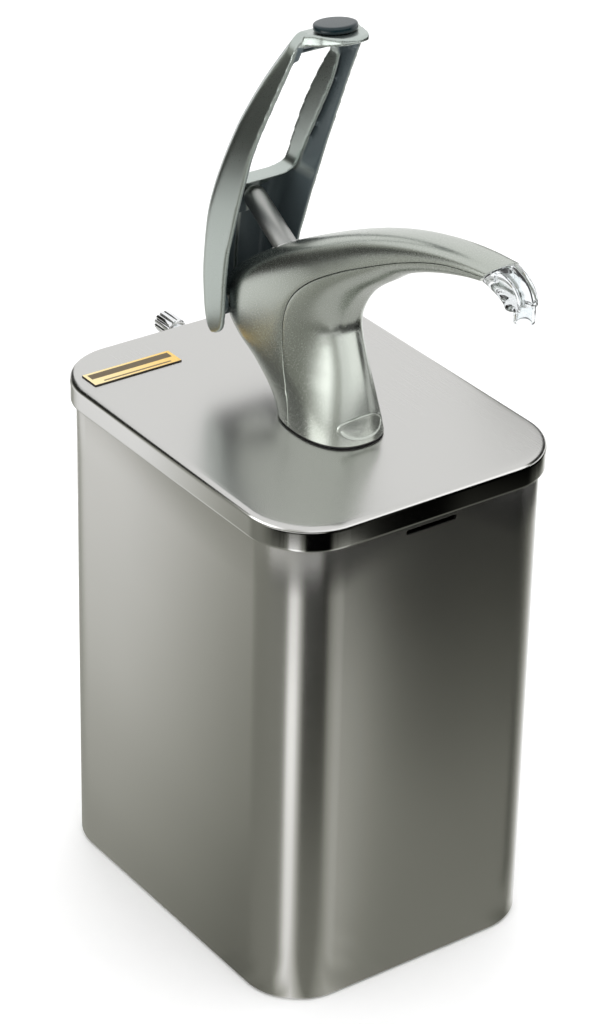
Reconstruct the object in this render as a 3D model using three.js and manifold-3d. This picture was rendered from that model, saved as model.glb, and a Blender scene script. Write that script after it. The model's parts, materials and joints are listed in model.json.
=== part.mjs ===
// Countertop condiment pump dispenser: a stainless container, a lift-off lid and a lever pump with a
// swan-neck spout. Millimetres, +Z up. The origin is the centre of the container's underside, the
// spout points along -Y, and +X is to the right for someone who stands in front of the spout.
import * as THREE from "three";
import { mergeVertices } from "three/addons/utils/BufferGeometryUtils.js";
import Module from "manifold-3d";

const wasm = await Module();
wasm.setup();

// ---------------------------------------------------------------- driving dimensions
const GAP = 0.3; // left between pieces that rest on or are cut by each other

// lid and container
const LID_WIDTH = 170;
const LID_DEPTH = 218;
const LID_CORNER = 35;
const LID_TOP = 276;
const LID_SKIRT = 13;
const LID_EDGE = 3;
const LID_SHEET = 1.2;
const WALL_INSET = 3.2; // lid edge to container wall
const WALL_SHEET = 1.1;
const SLOT_LENGTH = 30;
const SLOT_HEIGHT = 2.8;
const SLOT_Z = 257.7;
const LABEL = { x: -50.8, y: 79.1, width: 52, depth: 13.2, thick: 0.5 };

// pump body: heights below are above the lid's top face
const BODY_WALL = 2.2;
const BODY_BASE = 1.2;
const SEAM_GAP = 0.3;
const GASKET = 0.6;
const BADGE = { z: 9.6, width: 27, height: 12, proud: 0.9 };
const BASE_SCREWS = [-43.4, 1.2]; // Y of the front and the back screw up through the lid

// barrel: the bore that the piston works in, tilted down towards the front
const ROD_MOUTH = { y: 20.5, z: 80.7 };
const ROD_SLOPE = THREE.MathUtils.degToRad(30.5);
const ROD_RADIUS = 5.8;
const ROD_REACH = 28.9; // mouth to the centre of the rod's domed end
const BORE_RADIUS = 11;
const BARREL_RADIUS = 13.5;
const BARREL_TOP = 10.2; // mouth to the barrel's open end
const BARREL_DEPTH = 56;
const BARREL_TAPER = { from: 45, out: 2.6, in: 2.2 }; // its closed end narrows beyond the piston's reach
const BARREL_END = 2;
const GLAND_NECK = 7.4;
const GLAND_PROUD = 0.5; // the collar round the rod follows the body's skin at this height
const GLAND_DEPTH = 12;
const PISTON_LENGTH = 8;
const PISTON_WEB = 1.5;
const SPRING_RADIUS = 7.6;
const SPRING_WIRE = 1.3;
const SPRING_TURNS = 5;
const INLET_DEPTH = 50.5; // mouth to the inlet port
const OUTLET_DEPTH = 47.6; // mouth to the outlet port
const PORT_RADIUS = 2.5;

// inlet: a threaded stem through the lid, with a ball valve and a suction tube
const STEM_Y = -18.5;
const STEM_RADIUS = 7;
const THREAD_RADIUS = 13;
const THREAD_LENGTH = 17;
const STEM_FLANGE = 15.6;
const INLET_BALL = { radius: 5, z: 10.5, lift: 3 };
const SUCTION = { radius: 6, bore: 4, foot: 22 }; // foot is its height above the origin

// outlet: a ball valve on the barrel, a tube along the spout and a clear nozzle
const OUTLET_BALL = { radius: 3.2, reach: 19.4, lift: 2.4 };
const OUTLET_HOUSING = { radius: 6.5, from: 14, to: 27.4 };
const SPOUT_TUBE = { radius: 4.2, bore: 3 };
const NOZZLE = { radius: 5.1, bore: 3.6, y: -165.8, tip: 114.4 };

// handle
const PIVOT = { y: 50, z: 42 };
const PIN_RADIUS = 2.5;
const PIN_BORE = 2.6;
const PIN_HALF = 18.9;
const LUG_RADIUS = 6.5;
const LUG_HALF = 15.9;
const BOSS_RADIUS = 7; // on the inside of each handle wall, round the pivot's bush
const HANDLE_WALL = 2.4;
const HANDLE_CORNER = 9;
const CORNER_STEPS = 4; // facets round each back corner of the channel; an even number
const PLATFORM_TILT = THREE.MathUtils.degToRad(7);
const DISC = { radius: 10.6, thick: 3.6, y: -17.8, z: 207.6 };

// lid lock thumbscrew in the back of the lid's skirt
const LOCK = { z: 269.3, knobRadius: 6, knobLength: 15, shank: 2.4, gap: 1.4 };

// ---------------------------------------------------------------- finishes
const finish = (color, roughness, metalness) =>
  new THREE.MeshStandardMaterial({ color, roughness, metalness });
const BRUSHED = finish(0xb3b1aa, 0.32, 1);
const PEWTER = finish(0xa7aca5, 0.36, 0.9);
const SATIN_STEEL = finish(0xc4c6c2, 0.28, 1);
const CHROME = finish(0xd2d4d6, 0.12, 1);
const GOLD_LABEL = finish(0xd9a93c, 0.45, 0.2);
const BLACK_CAP = finish(0x15181b, 0.4, 0);
const BLACK_RUBBER = finish(0x1b1b1c, 0.8, 0);
const WHITE_PLASTIC = finish(0xe8e8e4, 0.45, 0);
const CLEAR_PLASTIC = finish(0xe9eef0, 0.08, 0);
CLEAR_PLASTIC.transparent = true;
CLEAR_PLASTIC.opacity = 0.35;

// ---------------------------------------------------------------- solids
// A closed three.js geometry as a solid that can be cut and joined.
function solid(geometry) {
  const bare = geometry.clone();
  bare.deleteAttribute("normal");
  bare.deleteAttribute("uv");
  const merged = mergeVertices(bare, 1e-4);
  const index = merged.index.array;
  const corners = [];
  for (let i = 0; i < index.length; i += 3) {
    const [a, b, c] = index.slice(i, i + 3);
    if (a !== b && b !== c && c !== a) corners.push(a, b, c);
  }
  const build = (triVerts) =>
    new wasm.Manifold(
      new wasm.Mesh({
        numProp: 3,
        vertProperties: merged.attributes.position.array,
        triVerts: new Uint32Array(triVerts),
      }),
    );
  const made = build(corners);
  return made.volume() > 0 ? made : build(corners.reverse());
}

function addMesh(parent, name, shape, material) {
  const data = shape.getMesh();
  const geometry = new THREE.BufferGeometry();
  geometry.setAttribute("position", new THREE.BufferAttribute(data.vertProperties, 3));
  geometry.setIndex(new THREE.BufferAttribute(data.triVerts, 1));
  const mesh = new THREE.Mesh(geometry, material);
  mesh.name = name;
  parent.add(mesh);
  return mesh;
}

const moved = (shape, x, y, z) => shape.translate([x, y, z]);
const vectors = (pairs) => pairs.map(([a, b]) => new THREE.Vector2(a, b));
const smooth = (pairs, count) => new THREE.SplineCurve(vectors(pairs)).getPoints(count);

// One value of a row of stations, as a smooth curve over their count.
const stationCurve = (stations, key) =>
  new THREE.SplineCurve(vectors(stations.map((station, i) => [i, station[key]])));

// A box from its two opposite corners.
function block(low, high) {
  const size = high.map((value, i) => value - low[i]);
  const box = solid(new THREE.BoxGeometry(...size));
  return moved(box, ...low.map((value, i) => value + size[i] / 2));
}

// A solid of revolution about +Z from a closed profile of [radius, height] pairs.
function turned(profile, segments = 22) {
  const closed = vectors([...profile, profile[0]]);
  return solid(new THREE.LatheGeometry(closed, segments).rotateX(Math.PI / 2));
}

const rod = (radius, from, to, segments = 22) =>
  turned([[0, from], [radius, from], [radius, to], [0, to]], segments);
const ring = (outer, inner, from, to, segments = 22) =>
  turned([[inner, from], [outer, from], [outer, to], [inner, to]], segments);

// The same bar laid along +X, and a prism of a Y-Z outline between two values of X.
const crossBar = (radius, from, to, segments) => rod(radius, from, to, segments).rotate([0, 90, 0]);
function sidePrism(outline, from, to) {
  const shape = new THREE.Shape(outline);
  const slab = new THREE.ExtrudeGeometry(shape, { depth: to - from, bevelEnabled: false });
  const basis = new THREE.Matrix4().set(0, 0, 1, from, 1, 0, 0, 0, 0, 1, 0, 0, 0, 0, 0, 1);
  return solid(slab.applyMatrix4(basis));
}

// A prism of a shape in X-Z between two values of Y.
function frontPrism(shape, from, to) {
  const slab = new THREE.ExtrudeGeometry(shape, { depth: to - from, bevelEnabled: false });
  const basis = new THREE.Matrix4().set(1, 0, 0, 0, 0, 0, 1, from, 0, 1, 0, 0, 0, 0, 0, 1);
  return solid(slab.applyMatrix4(basis));
}

const circle = (radius) => new THREE.Shape().absarc(0, 0, radius, 0, 2 * Math.PI);

// A rounded rectangle about the origin, as a shape in X-Y.
function roundedRect(width, depth, radius) {
  const x = width / 2 - radius;
  const y = depth / 2 - radius;
  const shape = new THREE.Shape();
  shape.absarc(x, -y, radius, -Math.PI / 2, 0);
  shape.absarc(x, y, radius, 0, Math.PI / 2);
  shape.absarc(-x, y, radius, Math.PI / 2, Math.PI);
  shape.absarc(-x, -y, radius, Math.PI, 1.5 * Math.PI);
  return shape;
}

function slab(shape, from, to, curveSegments = 5, bevel = 0) {
  const options = {
    depth: to - from - 2 * bevel,
    curveSegments,
    bevelEnabled: bevel > 0,
    bevelThickness: bevel,
    bevelSize: bevel,
    bevelOffset: -bevel,
    bevelSegments: 2,
  };
  return moved(solid(new THREE.ExtrudeGeometry(shape, options)), 0, 0, from + bevel);
}

// A shape swept along a smooth route of [y, z] points in the plane x = 0.
function swept(shape, route, steps, curveSegments) {
  const extrudePath = new THREE.CatmullRomCurve3(route.map(([y, z]) => new THREE.Vector3(0, y, z)));
  return solid(
    new THREE.ExtrudeGeometry(shape, { steps, curveSegments, extrudePath, bevelEnabled: false }),
  );
}

// A solid through a row of closed sections: sectionAt(t) gives a function of the angle round the
// section, and t runs from 0 to 1 along the row.
function lofted(sectionAt, around, along) {
  const geometry = new THREE.CylinderGeometry(1, 1, 1, around, along);
  const position = geometry.attributes.position;
  for (let i = 0; i < position.count; i++) {
    const x = position.getX(i);
    const z = position.getZ(i);
    const point = sectionAt(0.5 + position.getY(i));
    const onAxis = Math.hypot(x, z) < 0.5;
    const { x: px, y: py, z: pz } = onAxis ? point(null) : point(Math.atan2(z, x));
    position.setXYZ(i, px, py, pz);
  }
  return solid(geometry);
}

// ---------------------------------------------------------------- container and lid
function containerShell() {
  const width = LID_WIDTH - 2 * WALL_INSET;
  const depth = LID_DEPTH - 2 * WALL_INSET;
  const radius = LID_CORNER - WALL_INSET;
  const top = LID_TOP - LID_SHEET - GAP;
  const outer = slab(roundedRect(width, depth, radius), 0, top);
  const hollow = roundedRect(width - 2 * WALL_SHEET, depth - 2 * WALL_SHEET, radius - WALL_SHEET);
  const slot = slab(roundedRect(SLOT_LENGTH, SLOT_HEIGHT, SLOT_HEIGHT / 2 - 0.01), -4, 4, 5);
  const cut = moved(slot.rotate([90, 0, 0]), 0, -depth / 2, SLOT_Z);
  return outer.subtract(slab(hollow, WALL_SHEET, LID_TOP + 5)).subtract(cut);
}

function lidCap() {
  const bottom = LID_TOP - LID_SKIRT;
  const outline = roundedRect(LID_WIDTH, LID_DEPTH, LID_CORNER);
  const outer = slab(outline, bottom - 2 * LID_EDGE, LID_TOP, 5, LID_EDGE);
  const inset = 2 * LID_SHEET;
  const inside = roundedRect(LID_WIDTH - inset, LID_DEPTH - inset, LID_CORNER - LID_SHEET);
  const hollow = slab(inside, bottom - 3 * LID_EDGE, LID_TOP - LID_SHEET, 5, LID_EDGE - LID_SHEET);
  const below = block([-100, -120, bottom - 4 * LID_EDGE], [100, 120, bottom]);
  const stemHole = moved(rod(THREAD_RADIUS + 0.4, -5, 5, 32), 0, STEM_Y, LID_TOP);
  const lockHole = moved(rod(LOCK.shank + 0.3, -6, 6, 20).rotate([90, 0, 0]), 0, LID_DEPTH / 2, LOCK.z);
  const screwHoles = BASE_SCREWS.map((y) => moved(rod(1.8, -5, 5, 16), 0, y, LID_TOP));
  const tools = [lockHole, stemHole, hollow, below, ...screwHoles];
  return tools.reduce((cap, tool) => cap.subtract(tool), outer);
}

function labelPlate() {
  const plate = roundedRect(LABEL.width, LABEL.depth, 0.8);
  const bottom = LID_TOP + GAP / 3;
  return moved(slab(plate, bottom, bottom + LABEL.thick, 2), LABEL.x, LABEL.y, 0);
}

// ---------------------------------------------------------------- pump body
// Pairs of points on the back-and-top outline and the front-and-underside outline, seen from the
// side, with the half width of the section between them and the squareness of its back corners.
const BODY_STATIONS = [
  { back: [7.5, 0], front: [-51.8, 0], half: 22, square: 2.3 },
  { back: [15, 11], front: [-49.4, 12], half: 20.7, square: 2.5 },
  { back: [31, 21.5], front: [-46.4, 25], half: 19.6, square: 2.8 },
  { back: [46, 27.5], front: [-43.4, 36], half: 18.8, square: 3 },
  { back: [55, 35], front: [-40.6, 44.5], half: 18.4, square: 3.1 },
  { back: [57.5, 45], front: [-38.4, 51], half: 18.3, square: 3.2 },
  { back: [51.5, 57], front: [-37, 57], half: 18.3, square: 3.2 },
  { back: [36, 69.5], front: [-37.6, 63.5], half: 18.2, square: 3.1 },
  { back: [18, 81], front: [-41, 71], half: 17.8, square: 3 },
  { back: [0, 91], front: [-47.6, 79.5], half: 17, square: 2.9 },
  { back: [-19, 100.6], front: [-57, 87.5], half: 15.7, square: 2.8 },
  { back: [-40, 110.5], front: [-69, 95.8], half: 14.3, square: 2.7 },
  { back: [-62, 119.5], front: [-82.5, 105], half: 13.2, square: 2.6 },
  { back: [-86, 127.3], front: [-97.5, 112.2], half: 12.2, square: 2.5 },
  { back: [-110, 132.8], front: [-114, 118.3], half: 11.2, square: 2.5 },
  { back: [-132, 136], front: [-130, 123], half: 10.3, square: 2.4 },
  { back: [-152.5, 137.3], front: [-141, 125.5], half: 9.6, square: 2.3 },
];
const FRONT_SQUARE = 2.4; // squareness of every section's front corners
// The parting line between the back cover and the front shell, seen from the side.
const SEAM = [
  [-18.5, -6], [-13.4, 14.7], [-8, 29.5], [-5, 43], [-5.6, 56], [-12, 69], [-25, 81.5],
  [-44, 93.6], [-62, 103], [-90.5, 116.5], [-117, 126], [-143, 130.5], [-165, 133],
];

const bodyBack = new THREE.SplineCurve(vectors(BODY_STATIONS.map((station) => station.back)));
const bodyFront = new THREE.SplineCurve(vectors(BODY_STATIONS.map((station) => station.front)));
const bodyHalf = stationCurve(BODY_STATIONS, "half");
const bodySquare = stationCurve(BODY_STATIONS, "square");

// The body's section at t, moved inwards by inset. Outside 0..1 the end section is carried on.
function bodySection(t, inset) {
  const inside = THREE.MathUtils.clamp(t, 0, 1);
  const back = bodyBack.getPoint(inside);
  const front = bodyFront.getPoint(inside);
  const centre = back.clone().add(front).multiplyScalar(0.5);
  const across = back.clone().sub(front);
  const reach = across.length() / 2 - inset;
  across.normalize();
  const onward = t < 0 ? new THREE.Vector2(0, 40) : new THREE.Vector2(-60, 5);
  centre.addScaledVector(onward, t - inside);
  const half = bodyHalf.getPoint(inside).y - inset;
  const square = bodySquare.getPoint(inside).y;
  return (angle) => {
    if (angle === null) return { x: 0, y: centre.x, z: centre.y };
    const power = 2 / (Math.cos(angle) > 0 ? square : FRONT_SQUARE);
    const bend = (value) => Math.sign(value) * Math.abs(value) ** power;
    const along = reach * bend(Math.cos(angle));
    const x = half * bend(Math.sin(angle));
    return { x, y: centre.x + across.x * along, z: centre.y + across.y * along };
  };
}

function bodySolid(inset, around, along, overrun = 0) {
  return lofted((t) => bodySection(t + overrun * (2 * t - 1), inset), around, along);
}

// The side of the parting line that one half of the body fills, kept back by half the seam's gap.
function seamSide(far, away) {
  const line = smooth(SEAM, 24);
  const kept = line.map((point, i) => {
    const before = line[Math.max(i - 1, 0)];
    const after = line[Math.min(i + 1, line.length - 1)];
    const normal = new THREE.Vector2(after.y - before.y, before.x - after.x).normalize();
    return point.clone().addScaledVector(normal, (away * SEAM_GAP) / 2);
  });
  return sidePrism([...kept, ...vectors(far)], -40, 40);
}

function bodyShell() {
  const above = block([-60, -200, BODY_BASE], [60, 80, 180]);
  return bodySolid(0, 24, 24).intersect(above).subtract(bodySolid(BODY_WALL, 16, 16, 0.12));
}

// A screw boss on the body's inside, tied to the wall in front of it or behind it by a rib.
function screwBoss(y, wallY) {
  const floor = BODY_BASE + 0.2;
  const top = 12;
  const boss = moved(rod(3.4, floor, top, 16), 0, y, 0);
  const rib = block([-1.2, Math.min(y, wallY), floor], [1.2, Math.max(y, wallY), top - 1]);
  const pilot = moved(rod(1.7, floor - 1, top + 1, 12), 0, y, 0);
  return boss.add(rib.intersect(bodySolid(0.4, 24, 24))).subtract(pilot);
}

function backCover(shell) {
  const side = seamSide([[-200, 133], [-200, 200], [100, 200], [100, -6]], 1);
  const mouth = barrelPlaced(rod(GLAND_NECK + GAP, -12, 12));
  const lug = moved(crossBar(LUG_RADIUS, -LUG_HALF, LUG_HALF, 24), 0, PIVOT.y, PIVOT.z);
  const bore = moved(crossBar(PIN_BORE, -30, 30, 24), 0, PIVOT.y, PIVOT.z);
  return shell
    .intersect(side)
    .subtract(mouth)
    .subtract(barrelEnvelope())
    .subtract(spoutEnvelope())
    .add(lug)
    .subtract(bore);
}

function frontShell(shell) {
  const side = seamSide([[-200, 133], [-200, -6]], -1);
  return shell.intersect(side).subtract(barrelEnvelope()).subtract(spoutEnvelope());
}

function badgePlate() {
  const oval = new THREE.Shape().absellipse(0, 0, BADGE.width / 2, BADGE.height / 2, 0, 2 * Math.PI);
  const prism = slab(oval, 0, 60, 12).rotate([90, 0, 0]);
  const skin = bodySolid(-BADGE.proud, 40, 24).subtract(bodySolid(-GAP, 40, 24));
  return skin.intersect(moved(prism, 0, -30, BADGE.z));
}

function baseGasket() {
  const foot = bodySection(0, 0.5);
  const hole = bodySection(0, BODY_WALL + 1.2);
  const outline = (section) => {
    const points = [];
    for (let i = 0; i < 28; i++) {
      const { x, y } = section((i / 28) * 2 * Math.PI);
      points.push(new THREE.Vector2(x, y));
    }
    return points;
  };
  const shape = new THREE.Shape(outline(foot));
  const open = new THREE.Shape(outline(hole));
  return slab(shape, GAP, GAP + GASKET).subtract(slab(open, -1, 4));
}

// ---------------------------------------------------------------- barrel, rod and piston
const barrelFrame = new THREE.Matrix4()
  .makeTranslation(0, ROD_MOUTH.y, ROD_MOUTH.z)
  .multiply(new THREE.Matrix4().makeRotationX(ROD_SLOPE - Math.PI / 2));

// A shape given in the barrel's own frame, whose +Z runs up and back out of the rod's mouth.
const barrelPlaced = (shape) => shape.transform(barrelFrame.toArray());

// The barrel's outside as a closed plug, larger all round by grow.
function barrelEnvelope(grow = GAP) {
  const { from, out } = BARREL_TAPER;
  const low = -BARREL_DEPTH - grow;
  const radius = BARREL_RADIUS + grow;
  const top = grow - BARREL_TOP;
  return barrelPlaced(turned([[0, low], [radius - out, low], [radius, -from], [radius, top], [0, top]], 24));
}

function barrel() {
  const inner = BARREL_END - BARREL_DEPTH;
  const shell = turned([
    [0, inner], [0, -BARREL_DEPTH], [BARREL_RADIUS - BARREL_TAPER.out, -BARREL_DEPTH],
    [BARREL_RADIUS, -BARREL_TAPER.from], [BARREL_RADIUS, -BARREL_TOP], [BORE_RADIUS, -BARREL_TOP],
    [BORE_RADIUS, -BARREL_TAPER.from - 3], [BORE_RADIUS - BARREL_TAPER.in, inner],
  ], 24);
  const inlet = rod(PORT_RADIUS, 5, 20, 16).rotate([-90, 0, 0]);
  const outlet = rod(PORT_RADIUS, 5, 20, 16).rotate([90, 0, 0]);
  const ports = moved(inlet, 0, 0, -INLET_DEPTH).add(moved(outlet, 0, 0, -OUTLET_DEPTH));
  return shell.subtract(ports);
}

function rodGland() {
  const hole = ROD_RADIUS + 0.12;
  const bush = turned([
    [hole, -GLAND_DEPTH], [BORE_RADIUS - GAP, -GLAND_DEPTH], [BORE_RADIUS - GAP, -BARREL_TOP],
    [GLAND_NECK, -BARREL_TOP], [GLAND_NECK, 12], [hole, 12],
  ]);
  const skin = bodySolid(-GLAND_PROUD, 40, 32).transform(barrelFrame.clone().invert().toArray());
  return bush.intersect(skin);
}

function pistonRod() {
  const dome = [];
  for (let i = 0; i <= 6; i++) {
    const angle = (i / 6) * (Math.PI / 2);
    dome.push([ROD_RADIUS * Math.cos(angle), ROD_REACH + ROD_RADIUS * Math.sin(angle)]);
  }
  return turned([[0, -GLAND_DEPTH - GAP], [ROD_RADIUS, -GLAND_DEPTH - GAP], ...dome], 24);
}

// The piston is a cup that opens towards the front, so that the spring nests in it.
function pistonCup() {
  const top = -GLAND_DEPTH - 2 * GAP;
  const bottom = top - PISTON_LENGTH;
  return turned([
    [0, top], [0, top - PISTON_WEB], [BORE_RADIUS - 2.4, top - PISTON_WEB], [BORE_RADIUS - 2.4, bottom],
    [BORE_RADIUS - GAP, bottom], [BORE_RADIUS - GAP, top - 5.2], [BORE_RADIUS - 1.5, top - 5.2],
    [BORE_RADIUS - 1.5, top - 2], [BORE_RADIUS - GAP, top - 2], [BORE_RADIUS - GAP, top],
  ]);
}

function pistonSeal() {
  const middle = -GLAND_DEPTH - 2 * GAP - 3.6;
  return ring(BORE_RADIUS - 0.1, BORE_RADIUS - 1.3, middle - 1.3, middle + 1.3);
}

// A helix with closed ends in the barrel, from the barrel's end wall to the piston's web.
function returnSpring() {
  const high = -GLAND_DEPTH - 3 * GAP - PISTON_WEB - SPRING_WIRE / 2;
  const low = BARREL_END - BARREL_DEPTH + GAP + SPRING_WIRE / 2;
  const points = [];
  for (let i = 0; i <= SPRING_TURNS * 10; i++) {
    const angle = (i / 10) * 2 * Math.PI;
    const height = THREE.MathUtils.lerp(low, high, i / (SPRING_TURNS * 10));
    const [x, y] = [SPRING_RADIUS * Math.cos(angle), SPRING_RADIUS * Math.sin(angle)];
    points.push(new THREE.Vector3(x, y, height));
  }
  const wire = circle(SPRING_WIRE / 2);
  return solid(
    new THREE.ExtrudeGeometry(wire, {
      steps: SPRING_TURNS * 11,
      curveSegments: 3,
      extrudePath: new THREE.CatmullRomCurve3(points),
      bevelEnabled: false,
    }),
  );
}

// ---------------------------------------------------------------- inlet side
function inletStem() {
  const { radius, z, lift } = INLET_BALL;
  const top = z + radius + lift + 0.5;
  const chamber = radius + 1.2;
  const pipe = turned([
    [SUCTION.radius + 0.2, -THREAD_LENGTH], [THREAD_RADIUS, -THREAD_LENGTH], [THREAD_RADIUS, GAP],
    [STEM_FLANGE, GAP], [STEM_FLANGE, 3], [chamber + 2.4, 3], [chamber + 2.4, top], [STEM_RADIUS, top + 3],
    [STEM_RADIUS, 62], [4, 62], [4, top], [chamber, top - 2], [chamber, z - radius - 0.2],
    [SUCTION.radius + 0.2, z - radius - 0.2],
  ]);
  const ribs = block([-chamber - 0.4, -0.6, top - 1.2], [-3.2, 0.6, top + 1]);
  const crossed = [0, 120, 240].map((turn) => ribs.rotate([0, 0, turn]));
  const caged = crossed.reduce((body, rib) => body.add(rib), pipe);
  return moved(caged, 0, STEM_Y, 0).subtract(barrelEnvelope());
}

function inletSeat() {
  const { radius, z } = INLET_BALL;
  const top = z - radius * 0.55;
  return turned([
    [3.3, -1], [SUCTION.radius, -1], [SUCTION.radius, top - 0.6], [radius * 0.9, top], [3.3, top - 2.6],
  ]);
}

const lidUnderside = -LID_SHEET - GAP;

function stemWasher() {
  return ring(15.8, THREAD_RADIUS + GAP, lidUnderside - 1.2, lidUnderside);
}

function stemNut() {
  const top = lidUnderside - 1.2 - GAP;
  const hexagon = rod(16.6, top - 8, top, 6);
  return hexagon.subtract(rod(THREAD_RADIUS + 0.2, top - 12, top + 4));
}

function suctionTube() {
  const bottom = SUCTION.foot - LID_TOP;
  const notch = block([-1.6, -20, bottom - 1], [1.6, 20, bottom + 7]);
  return ring(SUCTION.radius, SUCTION.bore, bottom, -1 - GAP, 24).subtract(notch);
}

function baseScrew(y) {
  const top = lidUnderside;
  const head = turned([[0, top - 2], [2.2, top - 2], [3, top - 1], [3, top], [0, top]], 18);
  return moved(head.add(rod(1.45, top - 0.5, 7.5, 14)), 0, y, 0);
}

// ---------------------------------------------------------------- outlet side
// The outlet valve stands on the barrel's upper side, square to the bore.
const valvePlaced = (shape) => barrelPlaced(moved(shape.rotate([90, 0, 0]), 0, 0, -OUTLET_DEPTH));

function outletHousing() {
  const { radius, from, to } = OUTLET_HOUSING;
  const chamber = OUTLET_BALL.radius + 0.9;
  const stop = OUTLET_BALL.reach + OUTLET_BALL.radius + OUTLET_BALL.lift + 0.3;
  const shape = turned([
    [4.9, from + 0.2], [radius, from + 0.2], [radius, to - 2], [radius - 1.4, to], [SPOUT_TUBE.bore, to],
    [SPOUT_TUBE.bore, stop], [chamber, stop - 1], [chamber, from + 3.4], [4.9, from + 3.4],
  ]);
  return valvePlaced(shape).subtract(barrelEnvelope());
}

function outletSeat() {
  const base = OUTLET_HOUSING.from + 0.4;
  return valvePlaced(turned([[2.6, base], [4.6, base], [4.6, base + 2.6], [3.3, base + 2.8]], 24)).subtract(
    barrelEnvelope(),
  );
}

// A point in the Y-Z plane at a distance along the outlet valve's axis.
function valveAxisPoint(reach) {
  const point = new THREE.Vector3(0, -reach, -OUTLET_DEPTH).applyMatrix4(barrelFrame);
  return [point.y, point.z];
}

function spoutSweep(shape) {
  const start = valveAxisPoint(OUTLET_HOUSING.to + GAP);
  const next = valveAxisPoint(OUTLET_HOUSING.to + 4);
  const route = [start, next, [-56, 104], [-76, 114], [-100, 122.2], [-124, 128.2], [-145, 131.4]];
  return swept(shape, route, 12, 5);
}

const spoutEnvelope = () => spoutSweep(circle(SPOUT_TUBE.radius + GAP));

function spoutTube() {
  const wall = circle(SPOUT_TUBE.radius);
  wall.holes.push(circle(SPOUT_TUBE.bore));
  return spoutSweep(wall);
}

// ---------------------------------------------------------------- clear nozzle
const NOZZLE_STATIONS = [
  { outer: [-153.6, 137.1], inner: [-142.2, 125.1], half: 9.4 },
  { outer: [-159.6, 135], inner: [-148.5, 123.8], half: 9.2 },
  { outer: [-165, 131.2], inner: [-153.6, 122.6], half: 9 },
  { outer: [-168.1, 126.2], inner: [-156.8, 121.8], half: 8.7 },
  { outer: [-169.2, 121.3], inner: [-157.8, 121], half: 8.4 },
];

function nozzle() {
  const outer = new THREE.SplineCurve(vectors(NOZZLE_STATIONS.map((station) => station.outer)));
  const inner = new THREE.SplineCurve(vectors(NOZZLE_STATIONS.map((station) => station.inner)));
  const half = stationCurve(NOZZLE_STATIONS, "half");
  const section = (t) => {
    const top = outer.getPoint(t);
    const low = inner.getPoint(t);
    const centre = top.clone().add(low).multiplyScalar(0.5);
    const reach = top.clone().sub(low).multiplyScalar(0.5);
    const width = half.getPoint(t).y;
    return (angle) => {
      if (angle === null) return { x: 0, y: centre.x, z: centre.y };
      const along = Math.cos(angle);
      const [y, z] = [centre.x + reach.x * along, centre.y + reach.y * along];
      return { x: width * Math.sin(angle), y, z };
    };
  };
  const hood = lofted(section, 20, 7);
  const tube = moved(rod(NOZZLE.radius, NOZZLE.tip, 124, 20), 0, NOZZLE.y, 0);
  const fin = sidePrism(vectors([[-150.5, 124.5], [-156.5, 122.6], [-162, 117.4], [-162, 125]]), -0.8, 0.8);
  const socket = swept(circle(SPOUT_TUBE.radius + GAP), [[-138, 130.4], [-150, 131.6]], 1, 5);
  const turn = [[-148, 131.4], [-156, 131.6], [-162.5, 129], [-165.8, 123], [-165.8, 118], [-165.8, 112]];
  const bore = swept(circle(NOZZLE.bore), turn, 8, 6);
  return hood.add(tube).add(fin).subtract(socket).subtract(bore);
}

// ---------------------------------------------------------------- handle
// The channel's back face, its half width and its height, from the toe to the platform.
const HANDLE_STATIONS = [
  { z: 18, back: 57, half: 21.6 },
  { z: 30, back: 62.3, half: 21.9 },
  { z: 44, back: 64.3, half: 22 },
  { z: 60, back: 64.4, half: 22.1 },
  { z: 86, back: 60.6, half: 22.5 },
  { z: 104, back: 54.3, half: 23 },
  { z: 121.5, back: 46, half: 23.4 },
  { z: 136, back: 38.4, half: 23.4 },
  { z: 150, back: 30.8, half: 22.7 },
  { z: 171.5, back: 17, half: 21.2 },
  { z: 191.4, back: 1.9, half: 20.1 },
  { z: 206, back: -10, half: 19.4 },
];
// The front edges of the channel's walls and the toe, seen from the side.
const HANDLE_EDGE = [
  [64.5, 40], [61, 29.5], [54, 24.8], [48, 25.4], [43, 29.5], [41.4, 37], [40.2, 55], [37.6, 71],
  [33, 86], [28, 101], [23.2, 114.5], [15.2, 135.4], [1.2, 165], [-10.8, 189],
];
const WINDOW = { low: 105.5, high: 188.5, halfLow: 20.2, halfHigh: 14.6, roundLow: 9, roundHigh: 7 };
const WINDOW_RIM = 1.4; // thickness of the flange round the window
// The outline of the rounded shoulder at the top of each side wall, seen from the front.
const SHOULDER = [[20.4, 189], [19.8, 194], [18.2, 198], [15.6, 201], [11.8, 203.5], [30, 205.5], [30, 189]];
const SHOULDER_FRONT = -12; // Y of the front end of the shoulder's rounding
// The cheek that ties the top of each side wall to the platform, seen from the side.
const CHEEK = [
  [-10.8, 189], [-12.2, 192], [-14, 195], [-16.6, 197.5], [-20, 198.6], [-20, 202], [4, 202], [4, 186],
];
const CHEEK_INSIDE = 15.4; // its inner face's distance from the middle
// The platform's outline, seen from above, on the +X side.
const PLATFORM_EDGE = [
  [22, 4], [20.8, -2], [19.4, -7.5], [17, -12.4], [14.2, -17], [12.5, -21.5], [11.2, -26], [7.6, -33.6],
  [0, -37.4],
];

const handleHeight = stationCurve(HANDLE_STATIONS, "z");
const handleBack = stationCurve(HANDLE_STATIONS, "back");
const handleHalf = stationCurve(HANDLE_STATIONS, "half");

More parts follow.
